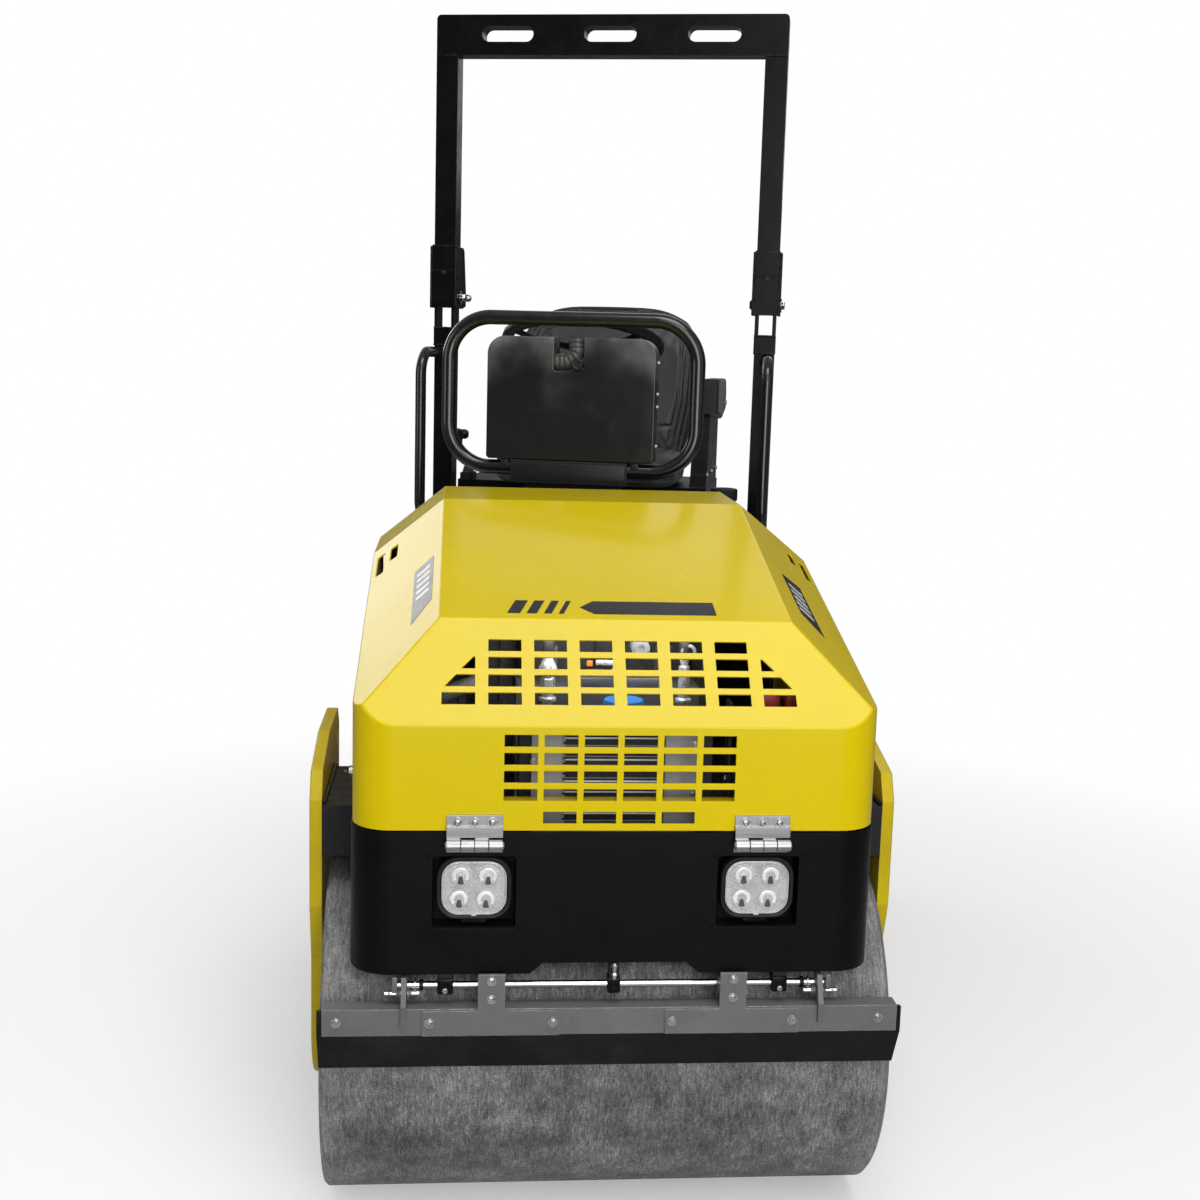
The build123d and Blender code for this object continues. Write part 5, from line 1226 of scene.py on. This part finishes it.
# ribbed boot in the notch
boot = Piece("column_boot", REAR, [m_boot, m_plastic, m_zinc])
bp = rounded_path([(-35, -80, 1397), (-10, -82, 1399), (9, -80, 1414), (9, -76, 1446)], 20, step=12)
dense = []
for a, b in zip(bp, bp[1:]):
    k = max(1, int((b - a).length / 1.2))
    dense += [a.lerp(b, i / k) for i in range(k)]
dense.append(bp[-1])
length = 1.2 * len(dense)
boot.add(b_tube(dense, lambda t: 15.5 + 2.3 * abs(sin(pi * t * length / 9.5)) ** 0.6, 28), None, 0)
boot.add(b_lathe([(5, 0.5), (5.5, 4), (9, 5), (12, 3), (12.5, 0), (12.5, -18), (0, -18), (0, 0.5)], 28),
         toward((13, -97, 1394), (0, -1, 0.1)), 1)
boot.add(b_box(9, 6, 5, 1), T(22, -96, 1386) @ rot(35, "Y"), 1)
boot.add(b_box(6, 5, 12, 1), T(23, -92, 1402) @ rot(-20, "Y"), 1)
boot.add(b_box(60, 56, 4, 1.5), T(-5, -64, 1381), 1)
boot.done("rear_frame")

ped = Piece("pedestal_trim", REAR, [m_frame, m_zinc, m_plastic, m_lid])
ped.add(b_box(236, 2.4, 36, 1, 2), T(0, -102.6, 1173), 3)
for s in (-1, 1):
    for z in (1100, 900, 700):
        ped.bolt((s * 82, -60, z), (0, -1, 0), 10, 4, mat=1)
    # tabs of the hoop under the console
    ped.add(b_box(17, 30, 16, 2), T(s * 136, -80, 1189), 3)
ped.done("rear_frame")

# steering wheel: round rim with finger swells, three dished spokes, hub and cap
TILT = 17.0
WH = REAR @ T(WHEEL_X, 130, 1440) @ rot(-TILT, "X")
wheel = Piece("steering_wheel_rim", WH, [m_grip, m_plastic, m_zinc])
rim = []
for i in range(120):
    a = 2 * pi * i / 120
    rr = 12.2 + 0.55 * cos(a * 30)
    row = []
    for k in range(18):
        b = 2 * pi * k / 18
        row.append(((165 + rr * cos(b)) * cos(a), (165 + rr * cos(b)) * sin(a), rr * 1.02 * sin(b)))
    rim.append(row)
wheel.add(b_loops(rim, ring=True), None, 0)
for k in range(3):
    a = 90 + 120 * k
    rows = []
    for t, w, z, th in ((26, 21, -12, 6), (50, 17, -12.5, 5), (90, 13, -12, 4.2), (125, 12, -8, 4.2),
                        (148, 14, -2.5, 5), (158, 16, 0, 5.5)):
        rows.append([(t, w * cos(p), z + th * sin(p)) for p in
                     [2 * pi * q / 16 for q in range(16)]])
    wheel.add(b_loops(rows), rot(a, "Z"), 1)
wheel.add(b_lathe([(0, -46), (26, -46), (31, -42), (33, -30), (34, -14), (33, -6), (29, -2.5),
                   (27, -2.5), (26.5, -3.5), (25, -3.2), (23, -0.8), (12, 0.6), (0, 0.9)], 48), None, 1)
wheel.done("steering_wheel", ["steering_wheel"])


# ---------------------------------------------------------------------------
# seat: padded, simulated, then seams and channels
# ---------------------------------------------------------------------------
def as_object(name, bm, matrix):
    bm.transform(matrix)
    me = bpy.data.meshes.new(name)
    bm.to_mesh(me)
    bm.free()
    ob = bpy.data.objects.new(name, me)
    scene.collection.objects.link(ob)
    return ob


def remeshed(ob, voxel):
    mod = ob.modifiers.new("voxel", "REMESH")
    mod.mode, mod.voxel_size, mod.use_smooth_shade = "VOXEL", voxel, True
    dg = bpy.context.evaluated_depsgraph_get()
    me = bpy.data.meshes.new_from_object(ob.evaluated_get(dg))
    old = ob.data
    ob.modifiers.clear()
    ob.data = me
    bpy.data.meshes.remove(old)
    return ob


def read(me):
    co = np.zeros(len(me.vertices) * 3, np.float64)
    me.vertices.foreach_get("co", co)
    return co.reshape(-1, 3)


def write(me, co):
    me.vertices.foreach_set("co", np.ascontiguousarray(co, np.float32).ravel())
    me.update()


def puff(ob, pressure, cap, held, frames=20):
    """held(coords) -> 0..1, how firmly a point is sewn down"""
    rest = read(ob.data)
    group = ob.vertex_groups.new(name="sewn")
    weights = held(rest)
    for i, w in enumerate(weights):
        if w > 0.02:
            group.add([i], float(w), "REPLACE")
    mod = ob.modifiers.new("cloth", "CLOTH")
    s = mod.settings
    s.quality = 5
    s.mass = 0.3
    s.tension_stiffness = s.compression_stiffness = 15
    s.shear_stiffness = 5
    s.bending_stiffness = 0.6
    s.use_pressure = True
    s.uniform_pressure_force = pressure
    s.vertex_group_mass = "sewn"
    s.effector_weights.gravity = 0.0
    mod.collision_settings.use_collision = False
    mod.collision_settings.use_self_collision = False
    for f in range(1, frames + 1):
        scene.frame_set(f)
    dg = bpy.context.evaluated_depsgraph_get()
    ev = ob.evaluated_get(dg)
    moved = np.zeros(len(ev.data.vertices) * 3, np.float64)
    ev.data.vertices.foreach_get("co", moved)
    moved = moved.reshape(-1, 3)
    delta = moved - rest
    size = np.linalg.norm(delta, axis=1)
    k = np.minimum(1.0, cap / np.maximum(size, 1e-9))
    ob.modifiers.clear()
    ob.vertex_groups.clear()
    write(ob.data, rest + delta * k[:, None])
    scene.frame_set(1)


def subdivided(ob):
    mod = ob.modifiers.new("fine", "SUBSURF")
    mod.levels = mod.render_levels = 1
    dg = bpy.context.evaluated_depsgraph_get()
    me = bpy.data.meshes.new_from_object(ob.evaluated_get(dg))
    old = ob.data
    ob.modifiers.clear()
    ob.data = me
    bpy.data.meshes.remove(old)


def outline_distance(x, y, pts):
    """distance inside a closed outline"""
    best = np.full(len(x), 1e9)
    for (ax, ay), (bx, by) in zip(pts, pts[1:] + pts[:1]):
        dx, dy = bx - ax, by - ay
        t = np.clip(((x - ax) * dx + (y - ay) * dy) / (dx * dx + dy * dy + 1e-12), 0, 1)
        best = np.minimum(best, np.hypot(x - ax - t * dx, y - ay - t * dy))
    return best


def rounded_outline(pts, r, n=8):
    P = rounded_path([(x, y, 0) for x, y in pts], r, closed=True, step=n)
    return [(p.x, p.y) for p in P]


def scaled_in(pts, d):
    """outline moved in by about d"""
    cx = sum(p[0] for p in pts) / len(pts)
    cy = sum(p[1] for p in pts) / len(pts)
    w = max(abs(p[0] - cx) for p in pts)
    h = max(abs(p[1] - cy) for p in pts)
    return [(cx + (x - cx) * (1 - d / w), cy + (y - cy) * (1 - d / h)) for x, y in pts]


def pad(name, place, outline, levels, groove, held, pressure, cap, piping, node, bolster=None):
    """levels: (height, inset); groove(x, y, z, d) -> push along -normal, all in local mm"""
    loops = [at_z(scaled_in(outline, i), z) for z, i in levels]
    ob = as_object(name, b_loops(loops), place)
    remeshed(ob, 0.005)
    inv = np.array(place.inverted())
    fwd = np.array(place)

    def local(co):
        return co @ inv[:3, :3].T + inv[:3, 3]

    def row(co):
        return co @ fwd[:3, :3].T + fwd[:3, 3]

    if bolster:
        write(ob.data, row(bolster(local(read(ob.data)))))
    puff(ob, pressure, cap, lambda co: held(local(co)))
    subdivided(ob)
    me = ob.data
    co = read(me)
    nrm = np.zeros(len(me.vertices) * 3, np.float64)
    me.vertices.foreach_get("normal", nrm)
    nrm = nrm.reshape(-1, 3)
    loc = local(co)
    n_loc = nrm @ fwd[:3, :3]
    n_loc /= np.maximum(np.linalg.norm(n_loc, axis=1), 1e-9)[:, None]
    d = outline_distance(loc[:, 0], loc[:, 1], outline)
    push = groove(loc, n_loc, d)
    write(me, co - nrm * (push * 0.001)[:, None])
    for p in me.polygons:
        p.use_smooth = True
    me.materials.clear()
    me.materials.append(m_vinyl)
    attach(ob, "rear_frame")
    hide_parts(node)
    # piping follows the sewn edge on the finished surface
    pip = Piece(name + "_piping", place, [m_vinyl])
    skin = BVHTree.FromPolygons([Vector(c) for c in local(read(me))],
                                [tuple(p.vertices) for p in me.polygons])
    for z, inset, r in piping:
        line = np.array([(x, y, z) for x, y in scaled_in(outline, inset)], np.float64)
        if bolster:
            line = bolster(line)
        for i, q in enumerate(line):
            at, out, face, gap = skin.find_nearest(Vector(q))
            line[i] = at + out * (0.15 * r)
        for turn in range(3):
            line = 0.25 * np.roll(line, 1, 0) + 0.5 * line + 0.25 * np.roll(line, -1, 0)
        pip.add(b_tube([tuple(q) for q in line], r, 10, closed=True), None, 0)
    pob = pip.done("rear_frame")
    return ob


def bump_at(v, centre, width):
    return np.exp(-((v - centre) / width) ** 2)


CUSHION = [(x, y) for x, y in rrect(418, 318, 58, 10)]
cushion_place = REAR @ T(SEAT_X, 335, 1123)


def cushion_groove(loc, nrm, d):
    top = np.clip((loc[:, 2] - 52) / 14, 0, 1) * np.clip(nrm[:, 2] * 1.6, 0, 1)
    lines = 5.0 * bump_at(d, 46, 3.6)
    inner = np.clip((d - 46) / 6, 0, 1)
    for y0 in (-70, -14, 42):
        lines = np.maximum(lines, 4.0 * bump_at(loc[:, 1], y0, 3.8) * inner)
    side = (1 - top) * 2.5 * bump_at(loc[:, 2], 38, 2.4)
    return lines * top + side


def cushion_held(loc):
    d = outline_distance(loc[:, 0], loc[:, 1], CUSHION)
    low = np.clip((14 - loc[:, 2]) / 6, 0, 1)
    seam = bump_at(loc[:, 2], 60, 4) * np.clip((16 - d) / 8, 0, 1)
    grid = 0.35 * np.clip((loc[:, 2] - 60) / 10, 0, 1) * bump_at(d, 46, 5)
    return np.maximum(np.maximum(low, seam), grid)


def cushion_form(loc):
    out = loc.copy()
    top = np.clip((loc[:, 2] - 40) / 30, 0, 1)
    out[:, 2] -= top * 10 * np.clip((-loc[:, 1] - 80) / 80, 0, 1) ** 2     # front edge falls away
    out[:, 2] -= top * 5 * np.exp(-((loc[:, 0]) / 110) ** 2 - ((loc[:, 1] - 20) / 90) ** 2)
    return out


pad("seat_cushion_pad", cushion_place, CUSHION,
    [(1, 22), (5, 10), (16, 4), (34, 2), (56, 3), (66, 8), (72, 18), (75, 36), (76, 70)],
    cushion_groove, cushion_held, 4.0, 0.010, [(59, -1.0, 3.4), (12, 1.0, 3.0)], "seat_cushion",
    cushion_form)

BACK_TILT = radians(10)
back_axes = Matrix(((1, 0, 0, 0),
                    (0, sin(BACK_TILT), -cos(BACK_TILT), 0),
                    (0, cos(BACK_TILT), sin(BACK_TILT), 0), (0, 0, 0, 1)))
back_place = REAR @ T(SEAT_X, 496, 1123) @ back_axes
BACKREST = rounded_outline([(-188, 22), (188, 22), (215, 190), (219, 335), (192, 386), (142, 414),
                            (92, 424), (-92, 424), (-142, 414), (-192, 386), (-219, 335),
                            (-215, 190)], 42, 10)


def back_groove(loc, nrm, d):
    front = np.clip(nrm[:, 2] * 1.8 + 0.3, 0, 1)
    lines = np.zeros(len(d))
    upper = np.clip((loc[:, 1] - 60) / 60, 0, 1)
    for k, dd in enumerate((13, 26, 39)):
        lines = np.maximum(lines, (4.2 - 0.4 * k) * bump_at(d, dd, 3.2) * upper)
    lines = np.maximum(lines, 4.0 * bump_at(loc[:, 1], 128, 3.6) * np.clip((d - 39) / 5, 0, 1))
    for x0 in (-62, 62):
        lines = np.maximum(lines, 3.2 * bump_at(loc[:, 0], x0, 3.4) * np.clip((d - 42) / 5, 0, 1)
                           * np.clip((loc[:, 1] - 128) / 5, 0, 1) * np.clip((330 - loc[:, 1]) / 6, 0, 1))
    return lines * front


def back_held(loc):
    d = outline_distance(loc[:, 0], loc[:, 1], BACKREST)
    rear = np.clip((-66 - loc[:, 2]) / 8, 0, 1)
    seam = bump_at(loc[:, 2], -14, 5) * np.clip((12 - d) / 6, 0, 1)
    return np.maximum(rear, seam)


def back_form(loc):
    out = loc.copy()
    depth = np.clip((loc[:, 2] + 80) / 80, 0, 1)
    side = np.clip((np.abs(loc[:, 0]) - 90) / 125, 0, 1)
    out[:, 2] += depth * (-14 + 18 * side ** 2)                # sides come forward round the back
    out[:, 2] += depth * 7 * np.exp(-((loc[:, 1] - 110) / 60) ** 2) * (1 - side)
    return out


pad("seat_backrest_pad", back_place, BACKREST,
    [(-79, 26), (-76, 12), (-64, 4), (-40, 1), (-16, 2), (-6, 8), (-1, 20), (1, 40)],
    back_groove, back_held, 3.5, 0.009, [(-14, -0.5, 3.4), (-62, 2.0, 3.0)], "seat_backrest",
    back_form)

# armrests: moulded blocks with broad chamfers
arm = Piece("armrest_block", REAR, [m_arm, m_zinc])
arm_x = SEAT_X + 247
arm.add(b_prism([(330, 1290), (326, 1350), (345, 1368), (580, 1368), (605, 1340), (609, 1292),
                 (490, 1273)], 42, 9, 4),
        Matrix(((0, 0, 1, arm_x), (1, 0, 0, 0), (0, 1, 0, 0), (0, 0, 0, 1))), 0)
arm.button((arm_x + 42, 560, 1310), (1, 0, 0), 7, 3, washer=10, mat=1)
arm.done("rear_frame", ["armrest"])

# ribbed caps on the filler neck and the water tank
caps = Piece("screw_caps", REAR, [m_plastic])
for x, y, z0, r, h, ribs in ((296, 320, 1090, 31, 30, 30), (-220, 780, 920, 52, 28, 36)):
    rows = []
    seg = ribs * 4
    prof = [(0, 0.90), (2, 0.97), (3.5, 1.0), (h - 5, 1.0), (h - 2, 0.975), (h - 0.4, 0.92), (h, 0.85),
            (h - 0.6, 0.72), (h - 1.6, 0.68)]
    for z, k in prof:
        row = []
        for i in range(seg):
            a = 2 * pi * i / seg
            rib = 0.035 * (1 if (i % 4) in (0, 1) else 0) * (1 if 3 < z < h - 1 and k > 0.9 else 0)
            row.append((r * (k - 0.035 + rib) * cos(a), r * (k - 0.035 + rib) * sin(a), z))
        rows.append(row)
    caps.add(b_loops(rows), T(x, y, z0), 0)
    caps.add(b_box(r * 1.1, r * 0.22, 3.0, 1.2), T(x, y, z0 + h - 1.6), 0)
caps.done("rear_frame", ["tank_caps"])

# neck collar and hose clip below the cap
neck = Piece("filler_neck_ring", REAR, [m_plastic, m_zinc])
neck.add(b_lathe([(26, 0), (29, 0.6), (29, 5), (26, 6)], 40), T(296, 320, 1080), 0)
neck.add(b_lathe([(26, 0), (36, 0), (36, 3), (26, 5)], 40), T(296, 320, 1030), 0)
for k in range(6):
    a = pi / 3 * k
    neck.button((296 + 31.5 * cos(a), 320 + 31.5 * sin(a), 1033.5), (0, 0, 1), 2.6, 2, mat=1)
neck.done("rear_frame")

# seat box: cover screws, front access door, latch
sb = Piece("seat_box_fittings", REAR, [m_frame, m_zinc, m_plastic])
sb.add(b_box(430, 4, 330, 2), T(-60, 260, 830), 0)
for s in (-1, 1):
    for z in (680, 980):
        sb.button((-60 + s * 200, 258, z), (0, -1, 0), 5, 3, washer=8, mat=1)
sb.add(b_lathe([(0, 0), (14, 0), (14, 4), (11, 6), (0, 6)], 28), toward((110, 258, 960), (0, -1, 0)), 2)
for y in (300, 440, 570):
    sb.button((SEAT_X + 271, y, 1150), (1, 0, 0), 4.5, 3, washer=7, mat=1)
for x in (-300, -100, 100, 230):
    for y in (285, 590):
        sb.button((x, y, 1122), (0, 0, 1), 4.5, 2.4, washer=7, mat=1) if abs(x - SEAT_X) > 225 or y > 500 else None
sb.done("rear_frame")

# gaiter of the travel lever
gt = Piece("lever_gaiter", REAR, [m_boot])
gt.add(b_lathe([(13, 0), (15, 2), (12, 4), (13.5, 7), (10.5, 9), (12, 12), (9, 14), (10, 17), (7.4, 19),
                (7.2, 24), (6.2, 25)], 28), T(-304, 300, 1136), 0)
gt.done("rear_frame")

# ---------------------------------------------------------------------------
# roll bar: pin heads, inner gussets, weld beads, lock knob
# ---------------------------------------------------------------------------
PX, RS, PIN_Z = 373.0, 350.0, 1538.0
up_b = Piece("rops_hinge_fittings", REAR, [m_zinc, m_frame, m_fins])
for s in (-1, 1):
    # lock screw in each sleeve, and welds round the sleeve and beam
    up_b.add(b_lathe([(4.4, -0.2), (7.4, -0.2), (7.2, 0.5), (4.8, 0.6), (4.4, -0.2)], 24),
             toward((s * PX, RS - 36, 1596), (0, -1, 0)), 1)
    up_b.add(b_lathe([(0, 0), (4.5, 0), (4.5, 0.3), (0, 0.3)], 20),
             toward((s * PX, RS - 36, 1596), (0, -1, 0)), 2)
    # gusset on the sleeve's inner side
    up_b.add(b_prism([(378, 1650), (399, 1552), (399, 1520), (378, 1516)], 4, 0.8),
             Matrix(((0, 0, -s, s * (PX - 30)), (1, 0, 0, 0), (0, 1, 0, 0), (0, 0, 0, 1))), 1)
    for sx in (-1, 1):
        up_b.add(b_tube([(s * PX + sx * 28.5, RS - 36.5, 1518), (s * PX + sx * 28.8, RS - 37, 1560),
                         (s * PX + sx * 28.3, RS - 36.6, 1610), (s * PX + sx * 28.5, RS - 36.8, 1650)],
                        2.2, 8), None, 1)
    up_b.add(b_tube([(s * PX - 23, RS - 24.8, 2080), (s * PX, RS - 25.6, 2079.4), (s * PX + 23, RS - 24.8, 2080)],
                    2.6, 8), None, 1)
    up_b.add(b_tube([(s * PX - 28, RS - 31, 1655), (s * PX, RS - 32, 1655.6), (s * PX + 28, RS - 31, 1655)],
                    2.6, 8), None, 1)
    up_b.add(b_tube([(s * PX - 23, RS + 24.8, 2080), (s * PX, RS + 25.6, 2079.4), (s * PX + 23, RS + 24.8, 2080)],
                    2.6, 8), None, 1)
up_b.done("rops_upper")

post_b = Piece("rops_pin_heads", REAR, [m_zinc, m_frame, m_plastic])
for s in (-1, 1):
    if s < 0:
        # nut and domed stud end on the inner side, thin head outside
        post_b.bolt((-(PX - 33), RS, PIN_Z), (1, 0, 0), 17, 10)
        post_b.add(b_lathe([(0, 0), (7.5, 0), (8.5, 3), (8.5, 8), (6, 13), (0, 15)], 20),
                   toward((-(PX - 33) + 11, RS, PIN_Z), (1, 0, 0)), 0)
        post_b.add(b_lathe([(0, 0), (11, 0), (11, 2), (9, 3.2), (0, 3.2)], 24),
                   toward((-(PX + 33), RS, PIN_Z), (-1, 0, 0)), 1)
    else:
        post_b.bolt((PX + 33, RS, PIN_Z), (1, 0, 0), 17, 7)
        post_b.add(b_lathe([(0, 0), (11, 0), (11, 2), (9, 3.2), (0, 3.2)], 24),
                   toward((PX - 33, RS, PIN_Z), (-1, 0, 0)), 1)
    # weld beads at the head block
    for z in (1429, 1468):
        post_b.add(b_tube([(s * PX - 24, RS - 28.4, z), (s * PX, RS - 28.9, z + 0.5), (s * PX + 24, RS - 28.4, z)],
                          2.2, 8), None, 1)
    # bolts through the foot
    for dy in (-38, 38):
        for dx in (-12, 14):
            post_b.bolt((s * (PX + 2 + dx), RS + dy, 641), (0, 0, 1), 13, 6)
# small knob on the left post's inner side
post_b.add(b_lathe([(0, 0), (4, 0), (4, 10), (8, 12), (10, 18), (10, 26), (7, 31), (0, 32)], 24),
           toward((-(PX - 22.5), RS - 12, 1222) , (1, 0, 0)) @ Matrix.Scale(1.15, 4), 2)
post_b.add(b_box(10, 20, 60, 3, 2), T(-(PX - 24), RS - 12, 1204), 2)
post_b.done("rear_frame")

rails = Piece("grab_rail_welds", REAR, [m_frame])
for s in (-1, 1):
    for z in (1412, 1030):
        rails.add(b_lathe([(12, -4), (16.5, -1.5), (16.5, 0.2), (12, 0.4)], 24),
                  toward((s * (PX + 8), RS - 25.4, z), (0, 1, 0)), 0)
rails.done("rear_frame")

# ---------------------------------------------------------------------------
# platform tread, rear body details
# ---------------------------------------------------------------------------
tread = Piece("platform_lozenges", REAR, [m_tread])
loz = bmesh.new()


def on_floor(x, y):
    if not (-55 < y < 250 and abs(x) < 385):
        return False
    if y < 130 and abs(x) > 170 + (y + 70) * 1.15 - 14:
        return False
    return not (abs(x) < 112 and -66 < y < 20)


row_i = 0
y = -50.0
while y < 250:
    x = -384.0 + (15 if row_i % 2 else 0)
    flip = 1 if row_i % 2 else -1
    while x < 385:
        if on_floor(x, y):
            L, W_, H = 11.0, 3.0, 1.6
            ca, sa = cos(radians(45 * flip)), sin(radians(45 * flip))
            ring = [(L, 0), (L * 0.4, W_), (-L * 0.4, W_), (-L, 0), (-L * 0.4, -W_), (L * 0.4, -W_)]
            low = [loz.verts.new((x + a * ca - b * sa, y + a * sa + b * ca, 612.6)) for a, b in ring]
            hi = [loz.verts.new((x + 0.72 * (a * ca - b * sa), y + 0.72 * (a * sa + b * ca), 613 + H))
                  for a, b in ring]
            for i in range(6):
                j = (i + 1) % 6
                loz.faces.new((low[i], low[j], hi[j], hi[i]))
            loz.faces.new(hi)
            loz.faces.new(low[::-1])
        x += 30
    y += 15
    row_i += 1
tread.add(loz, None, 0)
tread.done("rear_frame", angle=20)

TAIL = 725 + 331
tl = Piece("tail_lamp_units", REAR, [m_red, m_amber, m_plastic, m_zinc])
for s in (-1, 1):
    M = T(s * 300, TAIL, 572) @ rot(-90, "X") @ rot(180, "Z")
    tl.add(b_loops([at_z(rrect(98, 58, 7), -28), at_z(rrect(98, 58, 7), 0), at_z(rrect(112, 72, 12), 0),
                    at_z(rrect(112, 72, 12), 3), at_z(rrect(109, 69, 11), 4.4),
                    at_z(rrect(103, 63, 9), 4.4)]), M, 2)
    for cx, w, mi in ((-17 * 1.0, 62, 0), (33, 34, 1)):
        tl.add(b_loops([at_z(rrect(w, 60, 6, cx=cx), 3.4), at_z(rrect(w, 60, 6, cx=cx), 4.9),
                        at_z(rrect(w - 4, 56, 5, cx=cx), 5.9)]), M, mi)
    for sx in (-1, 1):
        tl.button((s * 300 + sx * 46, TAIL + 5.0, 572), (0, 1, 0), 2.6, 0.9, mat=3)
tl.done("rear_frame", ["tail_lamps"])

tk = Piece("tank_details", REAR, [m_tank, m_zinc, m_plastic])
for k in range(5):
    x = -300 + 150 * k
    tk.add(b_box(40, 8, 120, 4, 3), T(x, 1000, 775), 0)
for s in (-1, 1):
    # retaining straps with buckles
    strap = rounded_path([(s * 150, 636, 700), (s * 150, 636, 924), (s * 150, 932, 924), (s * 150, 1004, 852),
                          (s * 150, 1004, 700)], 12)
    rows = []
    for i, p in enumerate(strap):
        q = strap[min(i + 1, len(strap) - 1)] - strap[max(i - 1, 0)]
        nn = Vector((1, 0, 0)).cross(q.normalized())
        if nn.dot(p - Vector((s * 150, 820, 800))) < 0:
            nn = -nn
        rows.append([p + Vector((-14, 0, 0)) + nn * 0.2, p + Vector((14, 0, 0)) + nn * 0.2,
                     p + Vector((14, 0, 0)) + nn * 2.2, p + Vector((-14, 0, 0)) + nn * 2.2])
    tk.add(b_loops(rows), None, 1)
    tk.bolt((s * 150, 1006, 716), (0, 1, 0), 13, 6, mat=1)
tk.done("rear_frame")

tp = Piece("tail_panel_screws", REAR, [m_zinc])
for s in (-1, 1):
    for x in (80, 200):
        for z in (520, 668):
            tp.button((s * x, TAIL, z), (0, 1, 0), 4.5, 2.4, washer=7)
tp.done("rear_frame")

# steering cylinder gland and end rings
cyl_a = Vector((200, 405, 430))
ang = -STEER
cyl_b = Vector((200 * cos(ang) - 200 * sin(ang), 725 + 200 * sin(ang) + 200 * cos(ang), 430))
cd = (cyl_b - cyl_a).normalized()
gl = Piece("cylinder_gland", FRONT, [m_frame, m_zinc])
gl.add(b_lathe([(12.2, 0), (22, 0), (24, 2), (24, 12), (27.5, 14), (27.5, 22), (26, 24), (12.2, 24)], 40),
       toward(cyl_a + cd * 282, cd), 0)
gl.add(b_lathe([(25, 0), (28, 1), (28, 9), (25, 10)], 40), toward(cyl_a + cd * 34, cd), 0)
for d in (60, 262):
    gl.add(b_loops([hexagon(18, 0), hexagon(18, 12), hexagon(18, 14, 0.9)]),
           toward(cyl_a + cd * d + Vector((0, 0, 24)), (0, 0, 1)), 1)
gl.done("cylinder_barrel")

lo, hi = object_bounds()
